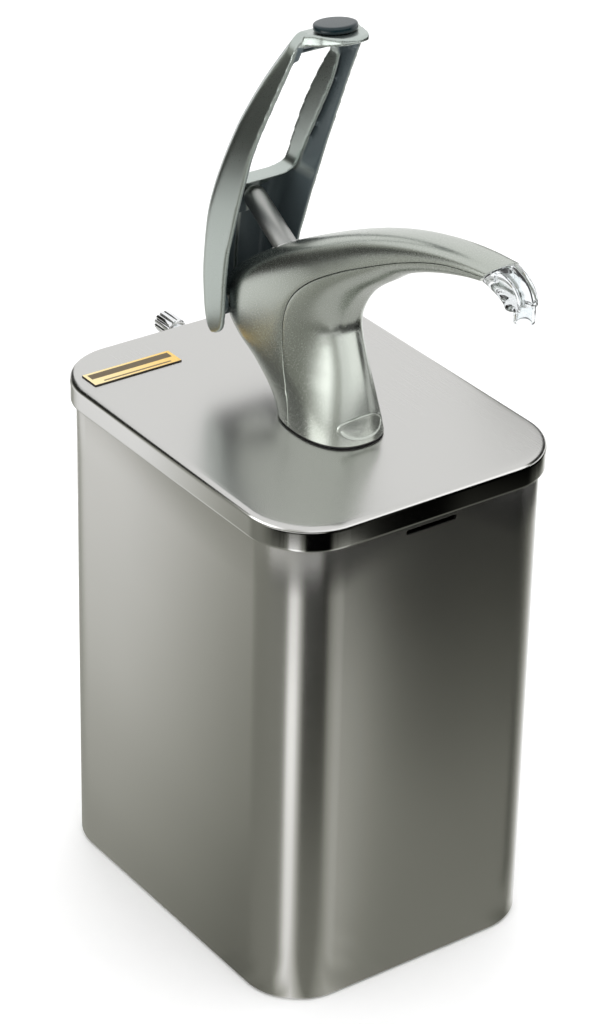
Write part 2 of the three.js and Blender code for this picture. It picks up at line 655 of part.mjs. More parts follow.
function handleSection(t, inset) {
  const z = handleHeight.getPoint(t).y;
  const back = handleBack.getPoint(t).y - inset * 1.12;
  const half = handleHalf.getPoint(t).y - inset;
  const corner = HANDLE_CORNER - inset;
  const outline = channelOutline(half, back, corner);
  return (angle) => {
    if (angle === null) return { x: 0, y: back - 20, z };
    const step = Math.round(((angle / (2 * Math.PI) + 1) % 1) * outline.length) % outline.length;
    return { x: outline[step].x, y: outline[step].y, z };
  };
}

// A rectangle open far to the front, with rounded corners at its back.
function channelOutline(half, back, corner) {
  const points = [new THREE.Vector2(half, back - 70)];
  for (let i = 0; i <= CORNER_STEPS; i++) {
    const angle = (i / CORNER_STEPS) * (Math.PI / 2);
    const centre = new THREE.Vector2(half - corner, back - corner);
    points.push(centre.add(new THREE.Vector2(Math.cos(angle), Math.sin(angle)).multiplyScalar(corner)));
  }
  const mirrored = points.map(({ x, y }) => new THREE.Vector2(-x, y)).reverse();
  return [...points, ...mirrored];
}

function handleLoft(inset) {
  return lofted((t) => handleSection(t, inset), 2 * (CORNER_STEPS + 2), 14);
}

// The handle's window as a prism from front to back: a trapezium with rounded corners.
function windowPrism(grow, from, to) {
  const { low, high, halfLow, halfHigh, roundLow, roundHigh } = WINDOW;
  const lean = (halfLow - halfHigh) / (high - low);
  const [bottom, top, wide, narrow] = [low - grow, high + grow, halfLow + grow, halfHigh + grow];
  const [foot, head] = [roundLow + grow, roundHigh + grow];
  const shape = new THREE.Shape();
  shape.moveTo(wide - foot, bottom);
  shape.quadraticCurveTo(wide, bottom, wide - lean * foot, bottom + foot);
  shape.lineTo(narrow + lean * head, top - head);
  shape.quadraticCurveTo(narrow, top, narrow - head, top);
  shape.lineTo(head - narrow, top);
  shape.quadraticCurveTo(-narrow, top, -narrow - lean * head, top - head);
  shape.lineTo(lean * foot - wide, bottom + foot);
  shape.quadraticCurveTo(-wide, bottom, foot - wide, bottom);
  return frontPrism(shape, from, to);
}

const platformPoint = (along, up) => {
  const cos = Math.cos(PLATFORM_TILT);
  const sin = Math.sin(PLATFORM_TILT);
  return [DISC.y - along * cos + up * sin, DISC.z - DISC.thick + along * sin + up * cos];
};

function platform() {
  const side = [
    [-11, -7.4], [-5, -6.2], [2, -5.6], [8, -4.6], [13, -3.8], [17.4, -3.2], [19.2, -2.3], [19.4, -1.2],
    [18.2, -0.3], [15.6, 0], [0, 0], [-6, -0.2], [-10, -1.6],
  ].map(([along, up]) => platformPoint(along, up));
  const cheek = sidePrism(vectors(CHEEK), CHEEK_INSIDE, 25);
  const plate = sidePrism(vectors(side), -25, 25).add(cheek).add(cheek.mirror([1, 0, 0]));
  const half = smooth(PLATFORM_EDGE, 16);
  const mirrored = half.slice(0, -1).map(({ x, y }) => new THREE.Vector2(-x, y));
  const plan = new THREE.Shape([...half, ...mirrored.reverse()]);
  return plate.intersect(slab(plan, 150, 240)).intersect(handleLoft(0));
}

function handleShell() {
  const edge = smooth(HANDLE_EDGE, 26);
  const top = [[-13, 196], [-13, 203.2], [-5, 202.2], [4, 198.2], [90, 198.2], [90, 40]];
  const profile = sidePrism([...edge, ...vectors(top)], -40, 40);
  const window = windowPrism(0, -60, 100);
  const channel = handleLoft(0).subtract(handleLoft(HANDLE_WALL)).intersect(profile).subtract(window);
  const roofLine = [
    [-13, 195.4], [-3, 193], [3, 188.6], [12, 190], [4, 198.2], [-5, 202.2], [-13, 203.2],
  ];
  const roof = handleLoft(0).intersect(sidePrism(vectors(roofLine), -40, 40));
  const rimFront = smooth([[50, 96], [45.2, 101.4], [36.5, 114.7], [19.6, 143], [5, 168.7], [-4, 192]], 14);
  const behindRim = sidePrism([...rimFront, ...vectors([[90, 192], [90, 96]])], -40, 40);
  const collar = windowPrism(WINDOW_RIM, -40, 90).subtract(window);
  const frame = collar.intersect(handleLoft(0.01)).intersect(behindRim);
  const pad = block([-8, 52, 85], [8, 66, 101]).intersect(handleLoft(0.4));
  const hub = crossBar(BOSS_RADIUS, LUG_HALF + 0.4, 20.5, 24);
  const hubs = pivotPlaced(hub.add(hub.rotate([0, 0, 180])));
  const bore = pivotPlaced(crossBar(4.3, -19.6, 19.6, 24));
  const peg = discPlaced(rod(3.3, -12, 4, 20));
  const shoulder = frontPrism(new THREE.Shape(vectors(SHOULDER)), SHOULDER_FRONT, 40);
  const cuts = [bore, peg, shoulder, shoulder.mirror([1, 0, 0])];
  const joined = [roof, frame, pad, platform(), hubs].reduce((body, piece) => body.add(piece), channel);
  return cuts.reduce((body, cut) => body.subtract(cut), joined);
}

// A shape given in the disc's own frame, whose +Z is the platform's normal.
function discPlaced(shape) {
  const frame = new THREE.Matrix4()
    .makeTranslation(0, DISC.y, DISC.z - DISC.thick)
    .multiply(new THREE.Matrix4().makeRotationX(-PLATFORM_TILT));
  return shape.transform(frame.toArray());
}

function handleDisc() {
  const { radius, thick } = DISC;
  return discPlaced(
    turned([
      [0, -5], [3, -5], [3, GAP], [radius - 0.6, GAP], [radius, GAP + 0.8], [radius, thick - 0.9],
      [radius - 0.9, thick], [0, thick],
    ], 32),
  );
}

const pivotPlaced = (shape) => moved(shape, 0, PIVOT.y, PIVOT.z);
const pivotPin = () => pivotPlaced(crossBar(PIN_RADIUS, -PIN_HALF, PIN_HALF, 24));

function pivotBush(side) {
  const bush = ring(4, PIN_BORE, LUG_HALF + 0.7, 19.3, 24).rotate([0, 90 * side, 0]);
  return pivotPlaced(bush);
}

// ---------------------------------------------------------------- lid lock thumbscrew
// Shapes here are turned about +Z and laid along +Y, out of the back of the lid's skirt.
const lockPlaced = (shape) => moved(shape.rotate([-90, 0, 0]), 0, LID_DEPTH / 2, LOCK.z);

function lockKnob() {
  const { knobRadius: r, knobLength: length, gap } = LOCK;
  const body = turned([
    [0, gap + 4], [r - 1.4, gap + 4], [r, gap + 5.2], [r, gap + 3 + length], [r - 1, gap + 4 + length],
    [0, gap + 4 + length],
  ], 24);
  const flutes = [];
  for (let i = 0; i < 12; i++) {
    const angle = (i / 12) * 360;
    flutes.push(moved(rod(0.8, 0, 40, 8), r + 0.2, 0, 0).rotate([0, 0, angle]));
  }
  const collar = rod(LOCK.shank + 1.2, gap, gap + 4.5, 20);
  return lockPlaced(flutes.reduce((knob, flute) => knob.subtract(flute), body).add(collar));
}

const lockScrew = () => lockPlaced(rod(LOCK.shank, -WALL_INSET + 0.6, LOCK.gap - GAP, 20));

function lockNut() {
  const bottom = 0.5 - WALL_INSET;
  const hexagon = rod(4.6, bottom, -LID_SHEET - GAP, 6);
  return lockPlaced(hexagon.subtract(rod(LOCK.shank + 0.2, bottom - 1, 1, 20)));
}

// ---------------------------------------------------------------- assembly
const dispenser = new THREE.Group();
dispenser.name = "condiment_pump_dispenser";

addMesh(dispenser, "container_shell", containerShell(), BRUSHED);
addMesh(dispenser, "lid_cap", lidCap(), BRUSHED);
addMesh(dispenser, "label_plate", labelPlate(), GOLD_LABEL);
addMesh(dispenser, "lock_knob", lockKnob(), CHROME);
addMesh(dispenser, "lock_screw", lockScrew(), SATIN_STEEL);
addMesh(dispenser, "lock_nut", lockNut(), SATIN_STEEL);

const pump = new THREE.Group();
pump.position.z = LID_TOP;
dispenser.add(pump);

const shell = bodyShell();
const [frontScrewY, backScrewY] = BASE_SCREWS;
addMesh(pump, "body_back_cover", backCover(shell).add(screwBoss(backScrewY, 14)), PEWTER);
addMesh(pump, "body_front_shell", frontShell(shell).add(screwBoss(frontScrewY, -56)), PEWTER);
addMesh(pump, "badge_plate", badgePlate(), PEWTER);
addMesh(pump, "base_gasket", baseGasket(), BLACK_RUBBER);

addMesh(pump, "barrel", barrelPlaced(barrel()), WHITE_PLASTIC);
addMesh(pump, "rod_gland", barrelPlaced(rodGland()), SATIN_STEEL);
addMesh(pump, "piston_rod", barrelPlaced(pistonRod()), SATIN_STEEL);
addMesh(pump, "piston_cup", barrelPlaced(pistonCup()), WHITE_PLASTIC);
addMesh(pump, "piston_seal", barrelPlaced(pistonSeal()), BLACK_RUBBER);
addMesh(pump, "return_spring", barrelPlaced(returnSpring()), SATIN_STEEL);

addMesh(pump, "inlet_stem", inletStem(), WHITE_PLASTIC);
const stem = new THREE.Group();
stem.position.y = STEM_Y;
pump.add(stem);
addMesh(stem, "inlet_seat", inletSeat(), BLACK_RUBBER);
const inletBall = solid(new THREE.SphereGeometry(INLET_BALL.radius, 14, 9));
addMesh(stem, "inlet_ball", inletBall, SATIN_STEEL).position.z = INLET_BALL.z;
addMesh(stem, "stem_washer", stemWasher(), SATIN_STEEL);
addMesh(stem, "stem_nut", stemNut(), WHITE_PLASTIC);
addMesh(stem, "suction_tube", suctionTube(), WHITE_PLASTIC);
addMesh(pump, "base_screw_front", baseScrew(frontScrewY), SATIN_STEEL);
addMesh(pump, "base_screw_back", baseScrew(backScrewY), SATIN_STEEL);

addMesh(pump, "outlet_housing", outletHousing(), WHITE_PLASTIC);
addMesh(pump, "outlet_seat", outletSeat(), BLACK_RUBBER);
const outletBall = solid(new THREE.SphereGeometry(OUTLET_BALL.radius, 12, 8));
const [ballY, ballZ] = valveAxisPoint(OUTLET_BALL.reach);
addMesh(pump, "outlet_ball", outletBall, SATIN_STEEL).position.set(0, ballY, ballZ);
addMesh(pump, "spout_tube", spoutTube(), SATIN_STEEL);
addMesh(pump, "nozzle", nozzle(), CLEAR_PLASTIC);

addMesh(pump, "handle_shell", handleShell(), PEWTER);
addMesh(pump, "handle_disc", handleDisc(), BLACK_CAP);
addMesh(pump, "pivot_pin", pivotPin(), SATIN_STEEL);
addMesh(pump, "pivot_bush_left", pivotBush(-1), WHITE_PLASTIC);
addMesh(pump, "pivot_bush_right", pivotBush(1), WHITE_PLASTIC);

export default dispenser;
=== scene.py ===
import json
import math

import bmesh
import bpy
import numpy as np
from mathutils import Matrix, Vector


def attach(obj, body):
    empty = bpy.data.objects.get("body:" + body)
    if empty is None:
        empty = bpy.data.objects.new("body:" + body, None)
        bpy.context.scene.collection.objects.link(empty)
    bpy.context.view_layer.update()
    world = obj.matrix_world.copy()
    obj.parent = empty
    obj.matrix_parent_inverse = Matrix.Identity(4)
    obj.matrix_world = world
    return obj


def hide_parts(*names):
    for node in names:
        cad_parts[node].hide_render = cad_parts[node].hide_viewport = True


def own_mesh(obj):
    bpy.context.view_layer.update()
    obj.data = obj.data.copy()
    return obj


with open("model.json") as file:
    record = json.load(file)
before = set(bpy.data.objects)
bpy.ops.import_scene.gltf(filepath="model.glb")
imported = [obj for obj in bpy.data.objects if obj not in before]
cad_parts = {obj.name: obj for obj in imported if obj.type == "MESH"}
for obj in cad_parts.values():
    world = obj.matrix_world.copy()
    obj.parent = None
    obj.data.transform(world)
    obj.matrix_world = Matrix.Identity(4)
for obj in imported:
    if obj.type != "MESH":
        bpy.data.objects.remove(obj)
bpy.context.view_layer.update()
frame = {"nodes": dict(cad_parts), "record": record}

MM = 0.001
LID_TOP = 276.0
CREASE = 35  # faces that meet at more degrees than this keep a crisp edge between them
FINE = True


# ------------------------ curves and meshes (in millimetres)
def curve_point(p, u):
    """The point at u on a smooth curve through the rows of p, which are one unit of u apart."""
    i = min(int(u), len(p) - 2)
    w = u - i
    a, b, c, d = p[max(i - 1, 0)], p[i], p[i + 1], p[min(i + 2, len(p) - 1)]
    v0, v1 = (c - a) / 2, (d - b) / 2
    return (2 * b - 2 * c + v0 + v1) * w**3 + (-3 * b + 3 * c - 2 * v0 - v1) * w**2 + v0 * w + b


def spline(points, count):
    """Points along a smooth curve through the given ones, evenly spaced in their count."""
    p = np.array(points, float)
    return np.array([curve_point(p, u) for u in np.linspace(0, 1, count + 1) * (len(p) - 1)])


def along(points, t):
    """One point of the same curve, at t from 0 to 1."""
    p = np.array(points, float)
    return curve_point(p, min(max(t, 0.0), 1.0) * (len(p) - 1))


def direction(line, i):
    """The unit direction of a row of points at one of them."""
    d = line[min(i + 1, len(line) - 1)] - line[max(i - 1, 0)]
    return d / np.linalg.norm(d)


def full_turn(steps):
    """Angles all the way round, without the last, which is the first again."""
    return [2 * math.pi * i / steps for i in range(steps)]


def quarter_turn(steps):
    """Angles from 0 to a right angle."""
    return [math.pi / 2 * i / steps for i in range(steps + 1)]


def linked(name, data):
    """A new object, in the scene."""
    obj = bpy.data.objects.new(name, data)
    bpy.context.scene.collection.objects.link(obj)
    return obj


def mesh_object(name, verts, faces, angle=CREASE):
    """A skin whose doubled points are welded and whose faces all look out."""
    mesh = bpy.data.meshes.new(name)
    scaled = np.array(verts, float) * MM
    mesh.from_pydata([tuple(v) for v in scaled], [], [tuple(f) for f in faces])
    obj = linked(name, mesh)
    work = bmesh.new()
    work.from_mesh(mesh)
    bmesh.ops.remove_doubles(work, verts=work.verts, dist=2e-6)
    bmesh.ops.recalc_face_normals(work, faces=work.faces)
    work.to_mesh(mesh)
    work.free()
    smooth(obj, angle)
    return obj


def smooth(obj, angle):
    """Shades a mesh smooth, but for the edges sharper than the angle."""
    obj.data.shade_smooth()
    obj.data.set_sharp_from_angle(angle=math.radians(angle))


def bridge(a, b, n):
    """The faces between two closed loops of n points, whose first points are a and b."""
    return [(a + i, a + (i + 1) % n, b + (i + 1) % n, b + i) for i in range(n)]


def rings(name, loops, closed=False, caps=True):
    """A skin through a row of closed loops with the same count of points."""
    loops = [np.array(loop, float) for loop in loops]
    n = len(loops[0])
    faces = []
    for r in range(len(loops) if closed else len(loops) - 1):
        faces += bridge(r * n, (r + 1) % len(loops) * n, n)
    if caps and not closed:
        faces.append(tuple(range(n)))
        faces.append(tuple((len(loops) - 1) * n + i for i in range(n)))
    return mesh_object(name, np.vstack(loops), faces)


def turned(name, profile, segments, place, ripple=None):
    """A solid of revolution about +Z from a closed [radius, height] profile, then placed."""
    loops = []
    for r, z in profile:
        ring = []
        for a in full_turn(segments):
            q = r if ripple is None else ripple(r, z, a)
            ring.append((q * math.cos(a), q * math.sin(a), z))
        loops.append(ring)
    on_axis = profile[0][0] == 0 and profile[-1][0] == 0
    obj = rings(name, loops, closed=not on_axis, caps=False)
    shift_mesh(obj, place)
    return obj


def cylinder(name, radius, low, high, segments, place):
    profile = [(0, low), (radius, low), (radius, high), (0, high)]
    return turned(name, profile, segments, place)


def shift_mesh(obj, matrix):
    """Moves a mesh by a matrix whose translation is in millimetres."""
    m = matrix.copy()
    m.translation = m.translation * MM
    obj.data.transform(m)
    obj.data.update()


def prism(name, outline, axis, low, high):
    """A prism of an outline: axis "x" takes [y, z] points, "y" takes [x, z] and "z" takes [x, y]."""
    def point(p, h):
        return {"x": (h, p[0], p[1]), "y": (p[0], h, p[1]), "z": (p[0], p[1], h)}[axis]

    return rings(name, [[point(p, low) for p in outline], [point(p, high) for p in outline]])


def rounded(width, depth, radius, steps):
    """A rounded rectangle in X-Y."""
    out = []
    for k, (sx, sy) in enumerate([(1, -1), (1, 1), (-1, 1), (-1, -1)]):
        cx, cy = sx * (width / 2 - radius), sy * (depth / 2 - radius)
        for i in range(steps + 1):
            a = math.pi / 2 * (k - 1 + i / steps)
            out.append((cx + radius * math.cos(a), cy + radius * math.sin(a)))
    return out


def combine(obj, tool, operation):
    """Applies a boolean with the tool, which is then removed."""
    cut = obj.modifiers.new("cut", "BOOLEAN")
    cut.operation = operation
    cut.object = tool
    cut.solver = "EXACT"
    bake(obj)
    bpy.data.objects.remove(tool)
    return obj


def bake(obj):
    """Turns an object's modifiers into its mesh."""
    bpy.context.view_layer.update()
    graph = bpy.context.evaluated_depsgraph_get()
    made = bpy.data.meshes.new_from_object(obj.evaluated_get(graph))
    obj.modifiers.clear()
    obj.data = made


def melt(obj, voxel, passes):
    """Melts joined solids into one moulded piece with softened edges."""
    remesh = obj.modifiers.new("melt", "REMESH")
    remesh.mode = "VOXEL"
    remesh.voxel_size = voxel * MM
    relax = obj.modifiers.new("relax", "SMOOTH")
    relax.factor = 0.5
    relax.iterations = passes
    bake(obj)


def joined(name, objects):
    """Puts several meshes into one object, without melting them."""
    work = bmesh.new()
    for o in objects:
        work.from_mesh(o.data)
    mesh = bpy.data.meshes.new(name)
    work.to_mesh(mesh)
    work.free()
    for o in objects:
        bpy.data.objects.remove(o)
    return linked(name, mesh)


def lifted(points):
    """[x, y, z] points whose z counts from the lid's top, in the part's frame."""
    p = np.array(points, float)
    p[..., 2] += LID_TOP
    return p


def raised(points):
    """The same for [y, z] or [x, z] points."""
    return [(h, z + LID_TOP) for h, z in points]


# ------------------------ container and lid
LID_WIDTH, LID_DEPTH, LID_CORNER = 170.0, 218.0, 35.0
LOCK = Matrix.Translation((0, 109, 269.3)) @ Matrix.Rotation(-math.pi / 2, 4, "X")
LABEL_X, LABEL_Y, LABEL_WIDTH, LABEL_DEPTH = -50.8, 79.1, 52, 13.2


def inset_ring(inset, z):
    """The lid's outline, moved in and set at a height."""
    width, depth = LID_WIDTH - 2 * inset, LID_DEPTH - 2 * inset
    return [(x, y, z) for x, y in rounded(width, depth, LID_CORNER - inset, 16)]


def container():
    """A deep box of sheet steel, with a round foot, a round rim and a slot through its front wall."""
    outer, inner, foot, inner_foot, rim = 3.2, 4.3, 2.2, 3, 274.5
    base = inner - outer
    loops = [inset_ring(outer + foot + 0.8, 0.0)]
    for a in quarter_turn(6):
        loops.append(inset_ring(outer + foot * (1 - math.sin(a)), foot * (1 - math.cos(a))))
    for z in (40, 90, 140, 190, 235, rim - 0.4):
        loops.append(inset_ring(outer, z))
    for inset, drop in ((0.15, 0.1), (0.55, 0), (0.95, 0.1)):
        loops.append(inset_ring(outer + inset, rim - drop))
    for z in (rim - 0.4, 190, 90, 6):
        loops.append(inset_ring(inner, z))
    for a in quarter_turn(4):
        rise = inner_foot * (1 - math.sin(a))
        loops.append(inset_ring(inner + inner_foot * (1 - math.cos(a)), base + rise))
    obj = rings("container", loops)
    slot_z = 257.7
    slot = prism("slot", [(x, z + slot_z) for x, z in rounded(30, 2.8, 1.39, 8)], "y", -112, -98)
    combine(obj, slot, "DIFFERENCE")
    smooth(obj, CREASE)
    return obj


def lid():
    """The lid's rim and skirt, as one folded sheet; the loops near the folds keep the faces between flat."""
    edge, skirt, sheet, reach = 3.0, 263.0, 1.2, 9
    loops = [inset_ring(edge + reach, LID_TOP), inset_ring(edge + 2.5, LID_TOP)]
    for a in quarter_turn(10):
        loops.append(inset_ring(edge * (1 - math.sin(a)), LID_TOP - edge * (1 - math.cos(a))))
    hem = [(0, 9.4), (0, 1.2), (0, 0.5), (0.15, 0.12), (0.6, 0), (1.05, 0.12), (sheet, 0.5)]
    loops += [inset_ring(inset, skirt + height) for inset, height in hem]
    bend = edge - sheet
    for a in quarter_turn(5):
        loops.append(inset_ring(sheet + bend * (1 - math.cos(a)), LID_TOP - edge + bend * math.sin(a)))
    loops.append(inset_ring(edge + reach, LID_TOP - sheet))
    hole = cylinder("lock_hole", 2.7, -6, 6, 40, LOCK)
    return combine(rings("lid", loops), hole, "DIFFERENCE")


def label():
    """A thin plate on the lid, with a small bevel round its top."""
    corner, bevel = 0.8, 0.15
    loops = []
    for inset, height in ((0, 0.12), (0, 0.45), (bevel, 0.6)):
        flat = rounded(LABEL_WIDTH - 2 * inset, LABEL_DEPTH - 2 * inset, corner - inset, 6)
        loops.append([(x + LABEL_X, y + LABEL_Y, LID_TOP + height) for x, y in flat])
    return rings("label", loops)


# ------------------------ pump body
# The body's sections from its base to the spout, with heights from the lid's top: the [y, z] of the
# back and of the front, half the width, and how square the back half of the section is.
BODY = [
    ((7.5, 0), (-51.8, 0), 22, 2.3),
    ((15, 11), (-49.4, 12), 20.7, 2.5),
    ((31, 21.5), (-46.4, 25), 19.6, 2.8),
    ((46, 27.5), (-43.4, 36), 18.8, 3),
    ((55, 35), (-40.6, 44.5), 18.4, 3.1),
    ((57.5, 45), (-38.4, 51), 18.3, 3.2),
    ((51.5, 57), (-37, 57), 18.3, 3.2),
    ((36, 69.5), (-37.6, 63.5), 18.2, 3.1),
    ((18, 81), (-41, 71), 17.8, 3),
    ((0, 91), (-47.6, 79.5), 17, 2.9),
    ((-19, 100.6), (-57, 87.5), 15.7, 2.8),
    ((-40, 110.5), (-69, 95.8), 14.3, 2.7),
    ((-62, 119.5), (-82.5, 105), 13.2, 2.6),
    ((-86, 127.3), (-97.5, 112.2), 12.2, 2.5),
    ((-110, 132.8), (-114, 118.3), 11.2, 2.5),
    ((-132, 136), (-130, 123), 10.3, 2.4),
    ((-152.5, 137.3), (-141, 125.5), 9.6, 2.3),
]
# The parting line between the back cover and the front shell, as [y, z] from the base to the spout.
SEAM = [
    (-18.5, -6), (-13.4, 14.7), (-8, 29.5), (-5, 43), (-5.6, 56), (-12, 69), (-25, 81.5),
    (-44, 93.6), (-62, 103), (-90.5, 116.5), (-117, 126), (-143, 130.5), (-165, 133),
]
SEAM_LINE = spline(SEAM, 240)
BODY_WALL, BODY_BASE, FRONT_SQUARE = 2.2, 1.2, 2.4
BODY_START = 0.0103  # how far up the sections the base is, as a share of them all
SPANS = len(BODY) - 1
BODY_CREASE = 40


def body_frame(t):
    """The body's section at t from 0 to 1: its back, its front, half its width and its squareness."""
    back = along([s[0] for s in BODY], t)
    front = along([s[1] for s in BODY], t)
    half = along([[s[2]] for s in BODY], t)[0]
    square = along([[s[3]] for s in BODY], t)[0]
    return back, front, half, square


def body_point(t, angle, inset):
    """A point of a section, moved in from the skin; angle 0 is the back and 180 degrees the front."""
    back, front, half, square = body_frame(t)
    across = back - front
    reach = np.linalg.norm(across) / 2 - inset
    across = across / np.linalg.norm(across)
    c, s = math.cos(angle), math.sin(angle)
    power = 2 / (square if c > 0 else FRONT_SQUARE)
    u = reach * math.copysign(abs(c) ** power, c)
    x = (half - inset) * math.copysign(abs(s) ** power, s)
    y, z = (back + front) / 2 + across * u
    return np.array([x, y, z])


def seam_angle(t):
    """The angle round the section at which the parting line crosses it."""
    back, front, half, square = body_frame(t)
    centre, across = (back + front) / 2, (back - front) / 2
    best, found = 1e9, 0.0
    for a, b in zip(SEAM_LINE[:-1], SEAM_LINE[1:]):
        m = np.array([across, a - b]).T
        det = np.linalg.det(m)
        if abs(det) < 1e-9:
            continue
        s, w = np.linalg.solve(m, a - centre)
        if -0.001 <= w <= 1.001 and abs(s) < min(best, 1.2):
            best, found = abs(s), s
    c = math.copysign(min(abs(found), 0.999) ** ((square if found > 0 else FRONT_SQUARE) / 2), found)
    return math.acos(c), (np.linalg.norm(across) + half) / 2


def body_half(name, side, rows, around):
    """One half of the body: side 0 is the back cover and 1 the front shell."""
    half_gap, lip_width, lip_depth = 0.16, 0.35, 0.3
    ease_width, ease_depth = 0.25, 0.06
    insets = [lip_depth, ease_depth] + [0.0] * around + [ease_depth, lip_depth]
    loops = []
    for t in np.linspace(BODY_START, 1, rows):
        seam, radius = seam_angle(t)
        centre, span = (0.0, seam) if side == 0 else (math.pi, math.pi - seam)
        span -= half_gap / radius
        lip = lip_width / radius
        low, high = centre - span, centre + span
        face = [centre + (span - lip) * u for u in np.linspace(-1, 1, around)]
        angles = [low, low + ease_width * lip, *face, high - ease_width * lip, high]
        outer = [body_point(t, a, k) for a, k in zip(angles, insets)]
        inner = [body_point(t, a, BODY_WALL) for a in angles]
        loop = np.array(outer + inner[::-1])
        loop[:, 2] = np.maximum(loop[:, 2], BODY_BASE)
        loops.append(loop)
    n = len(loops[0])
    last = (len(loops) - 1) * n
    faces = []
    for r in range(len(loops) - 1):
        faces += bridge(r * n, (r + 1) * n, n)
    for a in (0, last):
        faces += [(a + i, a + i + 1, a + n - 2 - i, a + n - 1 - i) for i in range(n // 2 - 1)]
    return mesh_object(name, lifted(np.vstack(loops)), faces, BODY_CREASE)


def back_cover(rows, around):
    """The back half of the body, with the mouth that the rod comes out of."""
    cover = body_half("back_cover", 0, rows, around)
    combine(cover, cylinder("mouth", 7.65, -12, 12, 72, BARREL), "DIFFERENCE")
    smooth(cover, BODY_CREASE)
    return cover


def front_skin(x, z, out):
    """The point of the column's front surface at a given x and height, moved out."""
    height_of_all = 12 * SPANS  # the lower sections are about 12 mm apart
    t = max(z, 0.0) / height_of_all
    for _ in range(12):
        back, front, half, _square = body_frame(t)
        across = back - front
        reach = np.linalg.norm(across) / 2 + out
        u = -reach * max(1 - (abs(x) / (half + out)) ** FRONT_SQUARE, 0.0) ** (1 / FRONT_SQUARE)
        y, height = (back + front) / 2 + across / np.linalg.norm(across) * u
        t += (z - height) / height_of_all
    return (x, y, z)


def badge():
    """A blank oval plate bent to the column's front, with a raised rim."""
    wide, tall, middle, under = 13.5, 6, 9.6, 0.05

    def oval(half_width, half_height, out):
        ring = []
        for a in full_turn(72):
            x, z = half_width * math.cos(a), middle + half_height * math.sin(a)
            ring.append(front_skin(x, z, out))
        return ring

    steps = [
        (0.0, 0.42), (0.3, 0.42), (0.6, 0.42), (0.8, 0.42), (0.84, 0.46), (0.87, 0.66), (0.89, 0.84),
        (0.92, 0.9), (0.95, 0.9), (0.975, 0.82), (0.99, 0.62), (1.0, 0.3),
    ]
    loops = [oval(wide * share, tall * share, out) for share, out in steps]
    back = oval(wide - 0.1, tall - 0.05, under)
    middle_y = front_skin(0, middle, under)[1]
    centre = [(x * 0.02, middle_y, middle + (z - middle) * 0.02) for x, _, z in back]
    return rings("badge", [lifted(loop) for loop in [*loops, back, centre]], caps=False)


def gasket():
    """The thin seal that follows the body's foot on the lid."""
    loops = []
    for inset, z in ((3.4, 0.3), (0.6, 0.3), (0.5, 0.4), (0.5, 0.8), (0.6, 0.9), (3.4, 0.9)):
        foot = [body_point(0, a, inset) for a in full_turn(120)]
        loops.append(lifted([(x, y, z) for x, y, _ in foot]))
    return rings("gasket", loops, closed=True)


# ------------------------ piston rod, collar and spring
SLOPE = math.radians(30.5)
BARREL_MOUTH = Vector((0, 20.5, LID_TOP + 80.7))
BARREL = Matrix.Translation(BARREL_MOUTH) @ Matrix.Rotation(SLOPE - math.pi / 2, 4, "X")


def gland():
    """The bush round the rod, trimmed to stand half a millimetre proud of the body's skin."""
    bore, neck, flange, shelf, reach, proud = 5.92, 7.4, 10.7, -10.2, 12, 0.5
    profile = [
        (bore, -reach), (flange, -reach), (flange, shelf), (neck, shelf), (neck, reach), (bore, reach),
    ]
    bush = turned("gland", profile, 96, BARREL)
    sections = []
    for t in np.linspace(5.6 / SPANS, 11 / SPANS, 20):
        sections.append(lifted([body_point(t, a, -proud) for a in full_turn(96)]))
    combine(bush, rings("skin", sections), "INTERSECT")
    smooth(bush, CREASE)
    return bush


def rod():
    """The piston rod's outer end, with its round tip."""
    radius, low, tip, chamfer = 5.8, -12.3, 34.7, 0.3
    profile = [(0, low), (radius - chamfer, low), (radius, low + chamfer)]
    for a in quarter_turn(12)[:-1]:
        profile.append((radius * math.cos(a), tip - radius + radius * math.sin(a)))
    return turned("rod", [*profile, (0, tip)], 72, BARREL)


def spring():
    """The return spring, round the rod inside the barrel."""
    wire, radius, turns = 0.63, 7.6, 5
    low, high = -53.05, -15.2
    count = turns * (40 if FINE else 16)
    route = []
    for i in range(count + 1):
        a = 2 * math.pi * turns * i / count
        height = low + (high - low) * i / count
        route.append(np.array([radius * math.cos(a), radius * math.sin(a), height]))
    loops = []
    for i, p in enumerate(route):
        out = np.array([p[0], p[1], 0]) / radius
        up = np.cross(direction(route, i), out)
        loops.append([p + wire * (math.cos(a) * out + math.sin(a) * up) for a in full_turn(10)])
    obj = rings("coil", loops)
    shift_mesh(obj, BARREL)
    return obj


# ------------------------ clear nozzle
# The hood's sections from the spout down to its mouth: the outer and the inner [y, z], and half the width.
NOZZLE = [
    ((-153.6, 137.1), (-142.2, 125.1), 9.4),
    ((-159.6, 135), (-148.5, 123.8), 9.2),
    ((-165, 131.2), (-153.6, 122.6), 9),
    ((-168.1, 126.2), (-156.8, 121.8), 8.7),
    ((-169.2, 121.3), (-157.8, 121), 8.4),
]
SPIGOT_Y = -165.8


def hoop(centre, across, half, around):
    """A ring square to the plane of symmetry, which it crosses at centre + across and centre - across."""
    ring = []
    for a in full_turn(around):
        y, z = centre + across * math.cos(a)
        ring.append((half * math.sin(a), y, z))
    return ring


def tube(name, radius, route, steps=24):
    """A round bar along a smooth route of [y, z] points in the plane of symmetry."""
    line = spline(route, steps)
    loops = []
    for i, p in enumerate(line):
        d = direction(line, i)
        loops.append(hoop(p, np.array([-d[1], d[0]]) * radius, radius, 40))
    return rings(name, [lifted(loop) for loop in loops])


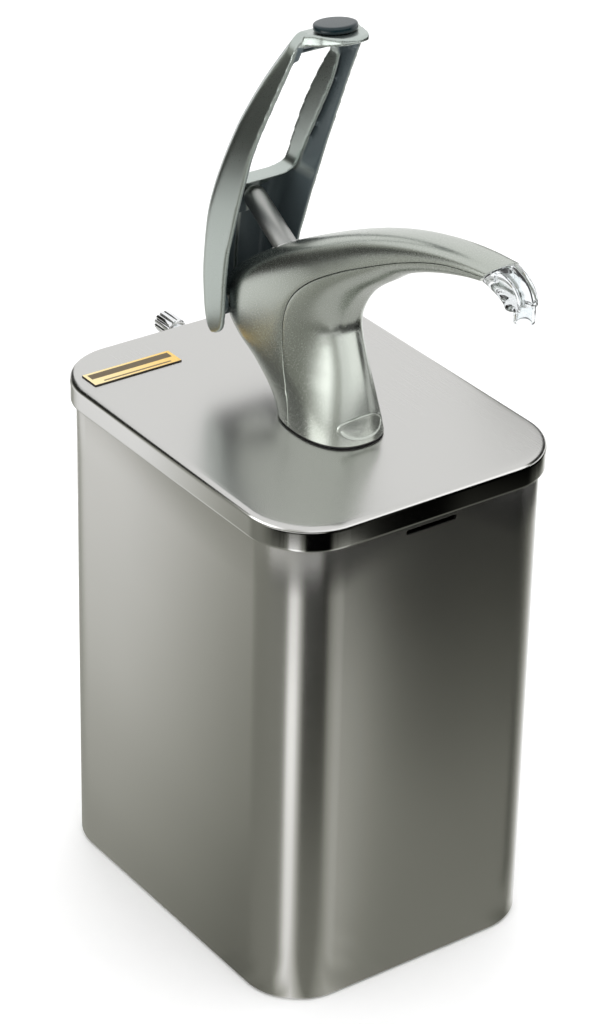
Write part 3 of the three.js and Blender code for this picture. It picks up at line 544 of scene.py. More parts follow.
def hood():
    """The outside of the nozzle, which bends down from the spout."""
    loops = []
    for t in np.linspace(0, 1, 24):
        outer, inner = along([s[0] for s in NOZZLE], t), along([s[1] for s in NOZZLE], t)
        half = along([[s[2]] for s in NOZZLE], t)[0]
        loops.append(hoop((outer + inner) / 2, (outer - inner) / 2, half, 64))
    return rings("nozzle_hood", [lifted(loop) for loop in loops])


def nozzle():
    """The hood, its spigot and its fin, moulded in one, with a bore all the way through."""
    profile = [(0, 114.4), (4.9, 114.4), (5.1, 114.7), (5.1, 124), (0, 124)]
    spigot = turned("spigot", profile, 48, Matrix.Translation((0, SPIGOT_Y, LID_TOP)))
    web = raised([(-150.5, 124.5), (-156.5, 122.6), (-162, 117.4), (-162, 125)])
    solid = joined("nozzle_clear", [hood(), spigot, prism("fin", web, "x", -0.8, 0.8)])
    melt(solid, 0.35 if FINE else 0.6, 3)
    bend = [(-148, 131.4), (-156, 131.6), (-162.5, 129), (SPIGOT_Y, 123), (SPIGOT_Y, 118), (SPIGOT_Y, 112)]
    combine(solid, tube("bore", 3.6, bend), "DIFFERENCE")
    combine(solid, tube("socket", 4.5, [(-138, 130.4), (-150, 131.6)], 1), "DIFFERENCE")
    smooth(solid, 50)
    return solid


# ------------------------ handle
# The lever's sections: the height from the lid's top, the back's y, and half the width.
HANDLE = [
    (18, 57, 21.6), (30, 62.3, 21.9), (44, 64.3, 22), (60, 64.4, 22.1), (86, 60.6, 22.5), (104, 54.3, 23),
    (121.5, 46, 23.4), (136, 38.4, 23.4), (150, 30.8, 22.7), (171.5, 17, 21.2), (191.4, 1.9, 20.1),
    (206, -10, 19.4),
]
# The front edge of its sides, as [y, z] from the back, under the ears and up to the platform.
HANDLE_EDGE = [
    (64.5, 40), (61, 29.5), (54, 24.8), (48, 25.4), (43, 29.5), (41.4, 37), (40.2, 55), (37.6, 71),
    (33, 86), (28, 101), (23.2, 114.5), (15.2, 135.4), (1.2, 165), (-10.8, 189),
]
PIVOT = Matrix.Translation((0, 50, LID_TOP + 42))
WINDOW_LOW, WINDOW_HIGH, WINDOW_WIDE, WINDOW_NARROW = 105.5, 188.5, 20.2, 14.6
LEVER_VOXEL = 0.62 if FINE else 1.1
TILT = math.radians(7)
DISC_Y, DISC_Z, DISC_THICK = -17.8, 207.6, 3.6
DISC = Matrix.Translation((0, DISC_Y, LID_TOP + DISC_Z - DISC_THICK)) @ Matrix.Rotation(-TILT, 4, "X")


def handle_solid(name, inset):
    """A solid bar with the lever's outside, moved in by the inset."""
    radius, depth, lean = 9 - inset, 70, 1.12
    loops = []
    for t in np.linspace(0, 1, 60):
        z, back, half = along(HANDLE, t)
        back -= inset * lean
        half -= inset
        right = [(half, back - depth)]
        for a in quarter_turn(12):
            right.append((half - radius + radius * math.cos(a), back - radius + radius * math.sin(a)))
        flat = [(x, back) for x in np.linspace(half - radius, radius - half, 11)[1:-1]]
        ring = right + flat + [(-x, y) for x, y in right[::-1]]
        loops.append([(x, y, z) for x, y in ring])
    return rings(name, [lifted(loop) for loop in loops])


def window(name, grow, low_y, high_y):
    """The window's outline, a trapezium with rounded corners, as a prism from front to back."""
    low, high = WINDOW_LOW - grow, WINDOW_HIGH + grow
    wide, narrow = WINDOW_WIDE + grow, WINDOW_NARROW + grow
    foot, head = 9 + grow, 7 + grow
    lean = (WINDOW_WIDE - WINDOW_NARROW) / (WINDOW_HIGH - WINDOW_LOW)
    corners = [
        ((wide - foot, low), (wide, low), (wide - lean * foot, low + foot)),
        ((narrow + lean * head, high - head), (narrow, high), (narrow - head, high)),
    ]
    right = []
    for corner in corners:
        a, b, c = (np.array(point) for point in corner)
        right += [tuple((1 - u) ** 2 * a + 2 * u * (1 - u) * b + u**2 * c) for u in np.linspace(0, 1, 13)]
    outline = right + [(-x, z) for x, z in right[::-1]]
    return prism(name, raised(outline), "y", low_y, high_y)


def platform():
    """The tilted plate under the disc, and the two cheeks that carry it down to the lever's sides."""
    def place(a, up):
        c, s = math.cos(TILT), math.sin(TILT)
        return DISC_Y - a * c + up * s, DISC_Z - DISC_THICK + a * s + up * c

    side = [place(a, up) for a, up in [
        (-11, -7.4), (-5, -6.2), (2, -5.6), (8, -4.6), (13, -3.8), (17.4, -3.2), (19.2, -2.3), (19.4, -1.2),
        (18.2, -0.3), (15.6, 0), (0, 0), (-6, -0.2), (-10, -1.6),
    ]]
    right = [
        (22, 4), (20.8, -2), (19.4, -7.5), (17, -12.4), (14.2, -17), (12.5, -21.5), (11.2, -26), (7.6, -33.6),
        (0, -37.4),
    ]
    cheek = [
        (-10.8, 189), (-12.2, 192), (-14, 195), (-16.6, 197.5), (-20, 198.6), (-20, 202), (4, 202), (4, 186),
    ]
    inside, beyond = 15.4, 25
    half = spline(right, 40)
    plan = [*half, *((-x, y) for x, y in half[-2::-1])]
    pieces = [prism("platform", raised(side), "x", -beyond, beyond)]
    for low, high in ((-beyond, -inside), (inside, beyond)):
        pieces.append(prism("cheek", raised(cheek), "x", low, high))
    for piece in pieces:
        combine(piece, prism("plan", plan, "z", 150 + LID_TOP, 240 + LID_TOP), "INTERSECT")
        combine(piece, handle_solid("bound", 0), "INTERSECT")
    return pieces


def channel():
    """The lever's back and sides, one sheet thick and cut to its front edge, with the window open."""
    sheet = 2.4
    top = [(-13, 196), (-13, 203.2), (-5, 202.2), (4, 198.2), (90, 198.2), (90, 40)]
    profile = prism("profile", raised([*spline(HANDLE_EDGE, 90), *top]), "x", -40, 40)
    walls = combine(handle_solid("channel", 0), handle_solid("hollow", sheet), "DIFFERENCE")
    combine(walls, profile, "INTERSECT")
    return combine(walls, window("opening", 0, -60, 100), "DIFFERENCE")


def roof():
    """The block that closes the top of the channel, behind the platform."""
    outline = [(-13, 195.4), (-3, 193), (3, 188.6), (12, 190), (4, 198.2), (-5, 202.2), (-13, 203.2)]
    side = prism("roof_side", raised(outline), "x", -40, 40)
    return combine(handle_solid("roof", 0), side, "INTERSECT")


def window_rim():
    """The flange round the window, which stands inwards from the lever's back."""
    inner_edge = spline([(50, 96), (45.2, 101.4), (36.5, 114.7), (19.6, 143), (5, 168.7), (-4, 192)], 60)
    behind = prism("behind", raised([*inner_edge, (90, 192), (90, 96)]), "x", -40, 40)
    rim = combine(window("rim", 1.4, -40, 90), window("rim_hole", 0, -60, 100), "DIFFERENCE")
    combine(rim, handle_solid("rim_bound", 0.02), "INTERSECT")
    return combine(rim, behind, "INTERSECT")


def pad():
    """The small block inside the lever's back, below the window."""
    block = prism("pad", raised([(52, 85), (66, 85), (66, 101), (52, 101)]), "x", -8, 8)
    return combine(block, handle_solid("pad_bound", 0.4), "INTERSECT")


def hubs():
    """The two round bosses that turn on the pivot."""
    turns = [PIVOT @ Matrix.Rotation(sign * math.pi / 2, 4, "Y") for sign in (-1, 1)]
    return [cylinder("hub", 7, 16.3, 20.5, 48, turn) for turn in turns]


def handle():
    """The lever, as one casting: its top corners are rounded off between two meltings."""
    solid = joined("lever", [channel(), roof(), window_rim(), pad(), *platform(), *hubs()])
    melt(solid, LEVER_VOXEL, 2)
    line = spline([(20.4, 189), (19.8, 194), (18.2, 198), (15.6, 201), (11.8, 203.5)], 24)
    for sign in (-1, 1):
        corner = raised([(sign * x, z) for x, z in [*line, (30, 205.5), (30, 189)]])
        combine(solid, prism("shoulder", corner, "y", -14, 40), "DIFFERENCE")
    melt(solid, LEVER_VOXEL, 3)
    crosswise = PIVOT @ Matrix.Rotation(math.pi / 2, 4, "Y")
    combine(solid, cylinder("bore", 4.3, -19.6, 19.6, 48, crosswise), "DIFFERENCE")
    combine(solid, cylinder("peg_hole", 3.3, -12, 4, 32, DISC), "DIFFERENCE")
    smooth(solid, 60)
    mark_painted_shade(solid)
    return solid


def mark_painted_shade(obj):
    """Marks the points of the lever's hollow, but not its window's rim, in the attribute "inside", where the
    lever's finish lays a painted shade.
    """
    outline = spline(HANDLE, 200)
    mesh = obj.data
    p = np.empty(len(mesh.vertices) * 3)
    mesh.vertices.foreach_get("co", p)
    x, y, z = (p.reshape(-1, 3) / MM).T
    z = z - LID_TOP
    back = np.interp(z, outline[:, 0], outline[:, 1])
    half = np.interp(z, outline[:, 0], outline[:, 2])
    depth = np.minimum(half - np.abs(x), back - y)
    rim_z = [95.5, 97, 104, 110, 182, 188, 189.5]
    rim_half = [0, 13, 19.4, 20.0, 14.9, 12, 0]
    past_rim = np.abs(x) - np.interp(z, rim_z, rim_half)
    # 1 deep in the hollow, where a dark tint paints the channel's shade; 0 on the outer skin, the window's
    # rim and the top
    inside = np.clip((depth - 1.0) / 0.9, 0, 1) * np.clip((past_rim - 0.4) / 0.7, 0, 1)
    inside = np.where(z > 197, 0, inside)
    mesh.attributes.new("inside", "FLOAT", "POINT").data.foreach_set("value", inside.astype(np.float32))


def disc():
    """The round cap on the platform, with its rolled edge and its peg."""
    profile = [
        (0, -5), (3, -5), (3, 0.3), (9.9, 0.3), (10.3, 0.45), (10.55, 0.9), (10.6, 1.4), (10.6, 2.5),
        (10.5, 2.95), (10.2, 3.3), (9.7, 3.5), (9.1, 3.58), (8.4, DISC_THICK), (0, DISC_THICK),
    ]
    return turned("disc", profile, 96, DISC)


# ------------------------ lid thumbscrew
def knob():
    """The thumbscrew's neck and head, with twelve grooves round the head."""
    grooves, depth = 12, 0.75

    def fluted(r, z, a):
        if r < 4.5 or z < 6.2:
            return r
        groove = 0.5 + 0.5 * math.cos(grooves * a)
        return r - depth * groove**6

    profile = [
        (0, 1.4), (3.4, 1.4), (3.6, 1.6), (3.6, 5.4), (4.6, 5.4), (5.6, 6.0), (6, 6.7), (6, 12), (6, 18.2),
        (5.8, 18.9), (5.2, 19.3), (4.4, 19.4), (3.9, 19.0), (0, 18.9),
    ]
    return turned("thumbscrew", profile, 180, LOCK, fluted)


# ------------------------ materials
MIX_SHARE, MIX_A, MIX_B, MIX_RESULT = 0, 6, 7, 2  # the colour sockets of a mix node


def node_tree(name):
    material = bpy.data.materials.new(name)
    material.use_nodes = True
    tree = material.node_tree
    tree.nodes.clear()
    return material, tree


def add(tree, kind, **values):
    node = tree.nodes.new(kind)
    for key, value in values.items():
        setattr(node, key, value)
    return node


def principled(name):
    """A new material with one shader."""
    material, tree = node_tree(name)
    out = add(tree, "ShaderNodeOutputMaterial")
    shader = add(tree, "ShaderNodeBsdfPrincipled")
    tree.links.new(shader.outputs[0], out.inputs["Surface"])
    return material, tree, shader


def own_frame(tree):
    """The place on the part, in its own frame."""
    return add(tree, "ShaderNodeTexCoord").outputs["Object"]


def grain(tree, stretch, detail=2.0):
    """Noise in the part's own frame, stretched by three scales."""
    mapping = add(tree, "ShaderNodeMapping")
    mapping.inputs["Scale"].default_value = stretch
    tree.links.new(own_frame(tree), mapping.inputs["Vector"])
    noise = add(tree, "ShaderNodeTexNoise")
    noise.inputs["Scale"].default_value = 1.0
    noise.inputs["Detail"].default_value = detail
    noise.inputs["Roughness"].default_value = 0.6
    tree.links.new(mapping.outputs["Vector"], noise.inputs["Vector"])
    return noise.outputs["Fac"]


def mapped(tree, source, start, end, low, high):
    """A value taken from the range start to end into the range low to high."""
    node = add(tree, "ShaderNodeMapRange")
    node.inputs["From Min"].default_value = start
    node.inputs["From Max"].default_value = end
    node.inputs["To Min"].default_value = low
    node.inputs["To Max"].default_value = high
    tree.links.new(source, node.inputs["Value"])
    return node.outputs["Result"]


def spread(tree, source, low, high):
    """The middle of a grain's range, spread from low to high."""
    return mapped(tree, source, 0.3, 0.7, low, high)


def calculated(tree, operation, first, second):
    """A sum, product or test of a socket with a second socket or a number."""
    node = add(tree, "ShaderNodeMath", operation=operation)
    tree.links.new(first, node.inputs[0])
    if isinstance(second, float):
        node.inputs[1].default_value = second
    else:
        tree.links.new(second, node.inputs[1])
    return node.outputs[0]


def mixed(tree, source, dark, light):
    """A colour from dark to light."""
    node = add(tree, "ShaderNodeMix", data_type="RGBA")
    node.inputs[MIX_A].default_value = (*dark, 1)
    node.inputs[MIX_B].default_value = (*light, 1)
    tree.links.new(source, node.inputs[MIX_SHARE])
    return node.outputs[MIX_RESULT]


def overlaid(tree, mask, color, tint):
    """A colour with a plain tint laid over it where the mask is 1."""
    node = add(tree, "ShaderNodeMix", data_type="RGBA")
    node.inputs[MIX_B].default_value = (*tint, 1)
    tree.links.new(mask, node.inputs[MIX_SHARE])
    tree.links.new(color, node.inputs[MIX_A])
    return node.outputs[MIX_RESULT]


def polish(tree, low, high, share):
    """A share of the roughness below a height, rising to all of it at a greater height, in metres."""
    split = add(tree, "ShaderNodeSeparateXYZ")
    tree.links.new(own_frame(tree), split.inputs[0])
    return mapped(tree, split.outputs["Z"], low, high, share, 1.0)


def relief(tree, fine, bump, soft):
    """The normal with the grain's relief in it, on edges softened by a radius."""
    normal = None
    if soft:
        edge = add(tree, "ShaderNodeBevel", samples=6)
        edge.inputs["Radius"].default_value = soft
        normal = edge.outputs[0]
    if bump:
        raise_grain = add(tree, "ShaderNodeBump")
        raise_grain.inputs["Strength"].default_value = 1.0
        raise_grain.inputs["Distance"].default_value = bump
        tree.links.new(fine, raise_grain.inputs["Height"])
        if normal is not None:
            tree.links.new(normal, raise_grain.inputs["Normal"])
        normal = raise_grain.outputs[0]
    return normal


def surface(
    name, dark, light, metallic, rough, stretch, bump=0.0, detail=3.0, soft=0.0, aniso=0.0, inside=None,
    skirt=None,
):
    """A finish whose colour, roughness and relief all vary with one stretched grain."""
    material, tree, shader = principled(name)
    shader.inputs["Metallic"].default_value = metallic
    fine = grain(tree, stretch, detail)
    broad = grain(tree, (9, 9, 9))
    color = mixed(tree, spread(tree, fine, 0, 1), dark, light)
    # where the attribute "inside" is 1, a dark tint and a mostly diffuse finish paint the shade of the
    # lever's hollow
    if inside:
        hollow = add(tree, "ShaderNodeAttribute", attribute_name="inside").outputs["Fac"]
        color = overlaid(tree, hollow, color, inside)
        tree.links.new(mapped(tree, hollow, 0, 1, metallic, 0.15), shader.inputs["Metallic"])
    tree.links.new(color, shader.inputs["Base Color"])
    roughness = calculated(tree, "ADD", spread(tree, fine, *rough), spread(tree, broad, -0.015, 0.015))
    if skirt:
        roughness = calculated(tree, "MULTIPLY", roughness, polish(tree, *skirt))
    tree.links.new(roughness, shader.inputs["Roughness"])
    if aniso:
        shader.inputs["Anisotropic"].default_value = aniso
        shader.inputs["Anisotropic Rotation"].default_value = 0.25
        tangent = add(tree, "ShaderNodeTangent", direction_type="RADIAL", axis="Z")
        tree.links.new(tangent.outputs[0], shader.inputs["Tangent"])
    normal = relief(tree, fine, bump, soft)
    if normal is not None:
        tree.links.new(normal, shader.inputs["Normal"])
    return material


def clear_plastic():
    """Clear moulded plastic, with a faint variation of tint and polish."""
    material, tree, shader = principled("clear_plastic")
    shader.inputs["Transmission Weight"].default_value = 1.0
    shader.inputs["IOR"].default_value = 1.5
    fine = grain(tree, (400, 400, 400))
    tree.links.new(mixed(tree, fine, (0.82, 0.85, 0.86), (0.87, 0.90, 0.91)), shader.inputs["Base Color"])
    tree.links.new(spread(tree, fine, 0.02, 0.06), shader.inputs["Roughness"])
    return material


def label_film():
    """A gold film with a dark keyline along its front and left edges and plain bands, with no lettering."""
    material, tree, shader = principled("label_film")
    shader.inputs["Metallic"].default_value = 0.15
    split = add(tree, "ShaderNodeSeparateXYZ")
    tree.links.new(own_frame(tree), split.inputs[0])

    def band(axis, low, high):
        above = calculated(tree, "GREATER_THAN", split.outputs[axis], low)
        below = calculated(tree, "LESS_THAN", split.outputs[axis], high)
        return calculated(tree, "MULTIPLY", above, below)

    def area(xs, ys):
        return calculated(tree, "MULTIPLY", band("X", *xs), band("Y", *ys))

    left, right = (LABEL_X - LABEL_WIDTH / 2) * MM, (LABEL_X + LABEL_WIDTH / 2) * MM
    across = mapped(tree, split.outputs["X"], left, right, 0, 1)
    color = mixed(tree, across, (0.78, 0.66, 0.36), (0.80, 0.52, 0.13))
    keyline = (0.03, 0.02, 0.01)
    layers = [
        (area((-0.0745, -0.0268), (0.0790, 0.0840)), (0.10, 0.07, 0.03)),
        (area((-0.0700, -0.0300), (0.0745, 0.0757)), (0.16, 0.11, 0.05)),
        (band("Y", 0.0, 0.0731), keyline),
        (band("X", -0.2, -0.0764), keyline),
    ]
    for mask, tint in layers:
        color = overlaid(tree, mask, color, tint)
    tree.links.new(color, shader.inputs["Base Color"])
    fine = grain(tree, (700, 700, 700))
    tree.links.new(spread(tree, fine, 0.3, 0.42), shader.inputs["Roughness"])
    return material


def metal(name, dark, light, rough, stretch, **details):
    return surface(name, dark, light, 1.0, rough, stretch, **details)


def plastic(name, dark, light, rough, stretch, **details):
    return surface(name, dark, light, 0.0, rough, stretch, **details)


BRUSHED = metal(
    "brushed_container", (0.597, 0.590, 0.566), (0.613, 0.606, 0.582), (0.225, 0.255), (9, 9, 2600),
    bump=1.6e-7, aniso=0.6,
)
LID_STEEL = metal(
    "brushed_lid", (0.624, 0.621, 0.604), (0.634, 0.630, 0.614), (0.25, 0.27), (2600, 9, 9),
    bump=4e-8, skirt=(0.2735, 0.2758, 0.35),
)
PEWTER = metal(
    "pewter", (0.49, 0.52, 0.475), (0.53, 0.56, 0.515), (0.24, 0.28), (2200,) * 3,
    bump=6e-7, detail=2, soft=0.0004,
)
# its inside tint is painted shade: the dark of the channel's hollow, laid on the lever's inner faces
LEVER = metal(
    "lever_pewter", (0.49, 0.54, 0.51), (0.53, 0.58, 0.55), (0.27, 0.31), (2200,) * 3,
    bump=6e-7, detail=2, soft=0.0004, inside=(0.085, 0.108, 0.116),
)
SATIN = metal(
    "satin_steel", (0.55, 0.555, 0.54), (0.585, 0.59, 0.575), (0.22, 0.26), (1800,) * 3, bump=3e-7,
)
ROD_STEEL = metal(
    "rod_steel", (0.46, 0.465, 0.45), (0.5, 0.505, 0.49), (0.36, 0.42), (1800,) * 3, bump=3e-7,
)
CHROME = metal("chrome", (0.86, 0.87, 0.88), (0.91, 0.92, 0.93), (0.12, 0.18), (300,) * 3)
PLAIN = metal("plain_steel", (0.52, 0.52, 0.51), (0.62, 0.62, 0.61), (0.28, 0.38), (600,) * 3, bump=2e-6)
BLACK = plastic(
    "black_cap", (0.001, 0.009, 0.012), (0.003, 0.015, 0.02), (0.2, 0.27), (1600,) * 3, bump=6e-7, detail=2,
)
RUBBER = plastic(
    "black_rubber", (0.012, 0.012, 0.012), (0.028, 0.028, 0.028), (0.6, 0.75), (900,) * 3, bump=5e-6,
)
WHITE = plastic(
    "white_plastic", (0.70, 0.70, 0.67), (0.80, 0.80, 0.78), (0.38, 0.5), (800,) * 3, bump=2e-6,
)
CLEAR = clear_plastic()
LABEL = label_film()

# ------------------------ pieces
ROWS, AROUND = (150, 60) if FINE else (60, 28)
cover = back_cover(ROWS, AROUND)
PIECES = [
    (container(), "container", BRUSHED, "container_steel", ["container_shell"]),
    (lid(), "lid", LID_STEEL, "lid_steel", ["lid_cap"]),
    (label(), "lid", LABEL, "label", ["label_plate"]),
    (knob(), "lock", CHROME, "chrome_knob", ["lock_knob"]),
    (cover, "lid", PEWTER, "pewter", ["body_back_cover"]),
    (body_half("front_shell", 1, ROWS, AROUND), "lid", PEWTER, "pewter", ["body_front_shell"]),
    (badge(), "lid", PEWTER, "pewter", ["badge_plate"]),
    (gasket(), "lid", RUBBER, "black_rubber", ["base_gasket"]),
    (gland(), "lid", SATIN, "satin_steel", ["rod_gland"]),
    (rod(), "piston", ROD_STEEL, "satin_steel", ["piston_rod"]),
    (spring(), "lid", PLAIN, "plain_steel", ["return_spring"]),
    (nozzle(), "lid", CLEAR, "clear_plastic", ["nozzle"]),
    (handle(), "handle", LEVER, "pewter", ["handle_shell"]),
    (disc(), "handle", BLACK, "black_cap", ["handle_disc"]),
]
for obj, body, material, slot, nodes in PIECES:
    obj.data.materials.clear()
    obj.data.materials.append(material)
    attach(obj, body)
    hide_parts(*nodes)

SLOT_FINISH = {
    "plain_steel": PLAIN, "satin_steel": SATIN, "white_plastic": WHITE, "black_rubber": RUBBER,
    "chrome_knob": CHROME, "pewter": PEWTER,
}
slots = {s["node"]: s["material_slot"] for s in frame["record"]["subparts"]}
for name, obj in frame["nodes"].items():
    if obj.hide_render:
        continue
    obj.data.materials.clear()
    obj.data.materials.append(SLOT_FINISH[slots[name]])
    smooth(obj, CREASE)

coil = bpy.data.objects["coil"]
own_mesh(coil)


# ------------------------ studio
def floor():
    """A pale floor just under the part."""
    half, drop = 6.0, -0.0006
    corners = [(x * half, y * half, drop) for x, y in ((-1, -1), (1, -1), (1, 1), (-1, 1))]
    mesh = bpy.data.meshes.new("floor")
    mesh.from_pydata(corners, [], [(0, 1, 2, 3)])
    obj = linked("floor", mesh)
    material, tree, shader = principled("pale_floor")
    fine = grain(tree, (60, 60, 60), 3.0)
    tree.links.new(mixed(tree, fine, (0.90, 0.90, 0.90), (0.92, 0.92, 0.92)), shader.inputs["Base Color"])
    shader.inputs["Roughness"].default_value = 0.9
    mesh.materials.append(material)


def light(name, place, aim, size, power):
    """An area light that shows in no reflection."""
    data = bpy.data.lights.new(name, "AREA")
    data.shape = "RECTANGLE"
    data.size, data.size_y = size
    data.energy = power
    obj = linked(name, data)
    obj.location = place
    obj.rotation_mode = "QUATERNION"
    obj.rotation_quaternion = (Vector(aim) - Vector(place)).to_track_quat("-Z", "Y")
    obj.visible_camera = obj.visible_glossy = obj.visible_transmission = False


floor()
world = bpy.data.worlds.new("studio")
bpy.context.scene.world = world
world.use_nodes = True
background = world.node_tree.nodes["Background"]
background.inputs["Color"].default_value = (1, 1, 1, 1)
background.inputs["Strength"].default_value = 1.0

light("key", (-1.2, -0.9, 1.9), (0, 0, 0.25), (1.2, 1.2), 10)
light("rear", (0.9, 1.5, 1.6), (0, 0, 0.25), (1.4, 1.0), 8)
light("fill", (0.2, -0.4, 2.6), (0, 0, 0), (2.4, 2.4), 22)


def between(x, *stops):
    """A value from a row of (position, value) stops, with eased steps between them."""
    if x <= stops[0][0]:
        return stops[0][1]
    for (a, u), (b, v) in zip(stops[:-1], stops[1:]):
        if x <= b:
            w = (x - a) / (b - a)
            return u + (v - u) * w * w * (3 - 2 * w)
    return stops[-1][1]


# The walls lean their reflections down on to the floor: at height z a wall of bearing a mirrors the
# floor at a distance of DROP * z, in the direction 2a + TURN. LEAN_X and LEAN_Y are that distance along
# X and Y for the flat walls, which stand at WALL_X and WALL_Y, with corners of radius CORNER_R.
DROP, TURN = 2.01, 125.8
LEAN_X, LEAN_Y = 1.04, 1.44
CORNER_X, CORNER_Y, CORNER_R = 0.05, 0.074, 0.0318
WALL_X, WALL_Y = -CORNER_X - CORNER_R, -CORNER_Y - CORNER_R


def heading(degrees):
    return math.cos(math.radians(degrees)), math.sin(math.radians(degrees))


def corner_source(x, y, low, high):
    """The bearing and the height of the point of a corner that mirrors the floor at x, y from its centre."""
    for _ in range(18):
        middle = (low + high) / 2
        nx, ny = heading(middle)
        dx, dy = heading(2 * middle + TURN)
        px, py = x - CORNER_R * nx, y - CORNER_R * ny
        if dx * py - dy * px > 0:
            low = middle
        else:
            high = middle
    return middle, math.hypot(px, py) / DROP


def left_tone(z, y):
    """The tone that the left wall mirrors at a height and a y."""
    near = between(z, (0.0, 0.15), (0.03, 0.19), (0.1, 0.30), (0.2, 0.36), (0.28, 0.42))
    far = between(z, (0.0, 0.38), (0.05, 0.52), (0.12, 0.78), (0.2, 0.98), (0.28, 1.08))
    return near + (far - near) * min(max((y + CORNER_Y) / 0.14, 0), 1)


def dark_tone(z):
    """The tone of the near corner's dark stripe at a height."""
    return between(z, (0.0, 0.23), (0.05, 0.2), (0.1, 0.1), (0.15, 0.035), (0.2, 0.0))


def under_skirt(z, x):
    """1 below the lid's skirt, falling to almost 0 where the skirt takes over from the wall."""
    rim = between(x, (-0.1, 0.226), (0.08, 0.242))
    return 1 - 0.97 * between(z, (rim, 0.0), (rim + 0.005, 1.0))


def front_tone(z, x):
    """The tone that the front wall mirrors at a height and an x: a pale edge, then dull to dark."""
    edge = between(z, (0.0, 0.34), (0.25, 0.48))
    dull = between(z, (0.0, 0.26), (0.08, 0.26), (0.16, 0.15), (0.25, 0.03))
    dark = between(z, (0.0, 0.26), (0.06, 0.24), (0.13, 0.13), (0.2, 0.04), (0.26, 0.0))
    width = between(z, (0.1, 0.03), (0.25, 0.014))
    side = between(x, (-CORNER_X, 0.0), (width - CORNER_X, 1.0))
    middle = dull + (dark - dull) * min(max(x + 0.03, 0) / 0.06, 1)
    return (edge + (middle - edge) * side) * under_skirt(z, x)


def near_corner_tone(a, z):
    """The tone that the near corner mirrors at a bearing and a height."""
    stripe = between(z, (0.0, 1.15), (0.06, 1.25), (0.15, 1.6), (0.26, 1.8))
    dark = dark_tone(z)
    edge = between(z, (0.0, 0.34), (0.25, 0.48))
    start = left_tone(z, -CORNER_Y)
    tone = between(
        a, (181, start), (187, 0.25), (215, 0.27), (218, 0.45), (221, stripe), (226, stripe), (231, 0.5),
        (234, dark), (252, dark), (258, 0.42), (263, 0.56), (268, 0.60), (271, edge),
    )
    return tone * (1 - (1 - under_skirt(z, -0.075)) * between(a, (192, 0.0), (212, 1.0)))


def far_corner_tone(a, z):
    """The tone that the far right corner mirrors at a bearing and a height."""
    dark = front_tone(z, CORNER_X)
    tone = between(
        a, (271, dark), (282, dark), (290, 0.1), (296, 0.24), (302, 0.5), (308, 0.88), (314, 1.2), (325, 1.2),
    )
    return tone * (1 - (1 - under_skirt(z, 0.075)) * between(a, (300, 1.0), (312, 0.0)))


def floor_tone(x, y):
    """How bright the studio floor is in the walls' reflections: graded panels lie on it round the part."""
    z_left, z_front = (WALL_X - x) / LEAN_X, (WALL_Y - y) / LEAN_Y
    y_wall, x_wall = y - LEAN_Y * z_left, x - LEAN_X * z_front
    away = math.hypot(x + CORNER_X, y + CORNER_Y)
    if z_left > -0.02 and y_wall > -CORNER_Y and x < y - 0.03:
        tone = left_tone(max(z_left, 0), y_wall)
    elif z_front > -0.02 and abs(x_wall) <= CORNER_X:
        tone = front_tone(max(z_front, 0), x_wall)
    elif x_wall > CORNER_X and x > 0:
        tone = far_corner_tone(*corner_source(x - CORNER_X, y + CORNER_Y, 268, 335))
    elif away > 0.02 and (z_left > -0.02 or z_front > -0.02):
        tone = near_corner_tone(*corner_source(x + CORNER_X, y + CORNER_Y, 178, 272))
    else:
        return 0.4
    bearing = math.degrees(math.atan2(y, x)) % 360
    lit = between(bearing, (165, 0.0), (185, 1.0), (250, 1.0), (265, 0.0))
    return tone + (1.2 - tone) * lit * between(away, (0.76, 0.0), (0.9, 1.0))


def graded_floor():
    """A grid over the floor, toned point by point."""
    size, count, drop = 1.3, 200, -0.0003
    verts, faces, tones = [], [], []
    for i in range(count + 1):
        for k in range(count + 1):
            x, y = size * (2 * i / count - 1), size * (2 * k / count - 1)
            verts.append((x, y, drop))
            tones.append(floor_tone(x, y))
    for i in range(count):
        for k in range(count):
            a = i * (count + 1) + k
            faces.append((a, a + count + 1, a + count + 2, a + 1))
    toned_sheet("graded_floor", verts, faces, tones)


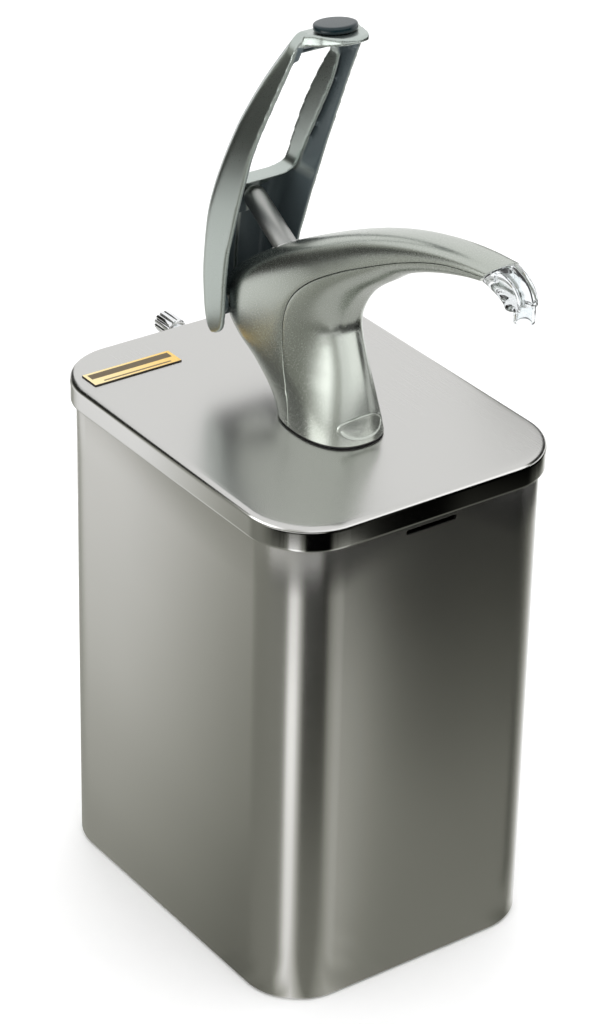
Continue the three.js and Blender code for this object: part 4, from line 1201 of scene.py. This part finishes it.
def toned_sheet(name, verts, faces, tones):
    """A glowing sheet that shows only in glossy reflections, with its brightness set point by point."""
    mesh = bpy.data.meshes.new(name)
    mesh.from_pydata(verts, [], faces)
    mesh.attributes.new("tone", "FLOAT", "POINT").data.foreach_set("value", tones)
    obj = linked(name, mesh)
    material, tree = node_tree(name)
    out = add(tree, "ShaderNodeOutputMaterial")
    glow = add(tree, "ShaderNodeEmission")
    tone = add(tree, "ShaderNodeAttribute", attribute_name="tone").outputs["Fac"]
    tree.links.new(mixed(tree, tone, (0.98, 1.0, 0.84), (1.0, 1.0, 1.0)), glow.inputs["Color"])
    tree.links.new(tone, glow.inputs["Strength"])
    tree.links.new(glow.outputs[0], out.inputs["Surface"])
    mesh.materials.append(material)
    obj.visible_camera = obj.visible_diffuse = obj.visible_shadow = obj.visible_transmission = False


def screen(name, centre, radius, low, high, stops):
    """An upright screen round part of the studio, toned by its stops of (degrees, tone)."""
    first, last = stops[0][0], stops[-1][0]
    count = int((last - first) / 2)
    verts, faces, tones = [], [], []
    for i in range(count + 1):
        degrees = first + (last - first) * i / count
        cx, cy = heading(degrees)
        verts += [(centre[0] + radius * cx, centre[1] + radius * cy, z) for z in (low, high)]
        tones += [between(degrees, *stops)] * 2
    for i in range(count):
        faces.append((2 * i, 2 * i + 1, 2 * i + 3, 2 * i + 2))
    toned_sheet(name, verts, faces, tones)


graded_floor()
screen("far_screen", (0, 0), 1.28, 0, 0.62, [(96, 0.3), (170, 0.3), (200, 0.3), (228, 0.01), (322, 0.01)])
screen(
    "near_screen", (0, -0.03), 0.3, 0.277, 0.4,
    [(96, 0.02), (148, 0.02), (154, 0.5), (160, 2.6), (188, 2.6), (200, 1.4), (210, 0.7), (222, 0.7),
     (236, 1.2), (300, 1.5), (314, 1.5), (322, 0.1), (328, 0.02), (388, 0.02), (397, 0.3)],
)

# ------------------------ camera
camera_data = bpy.data.cameras.new("camera")
camera = linked("camera", camera_data)
bpy.context.scene.camera = camera
camera_data.lens = 121.6
camera_data.sensor_width = 36
camera_data.clip_start = 0.05
camera_data.clip_end = 30
eye, aim = Vector((-0.8901, -1.2340, 1.0721)), Vector((0.0826, 0.1128, 0.1360))
roll = math.radians(1.32)
turn = (aim - eye).to_track_quat("-Z", "Y").to_matrix().to_4x4()
camera.matrix_world = Matrix.Translation(eye) @ turn @ Matrix.Rotation(roll, 4, "Z")

view = bpy.context.scene.view_settings
view.view_transform = "Standard"
view.look = "None"

bpy.context.view_layer.update()
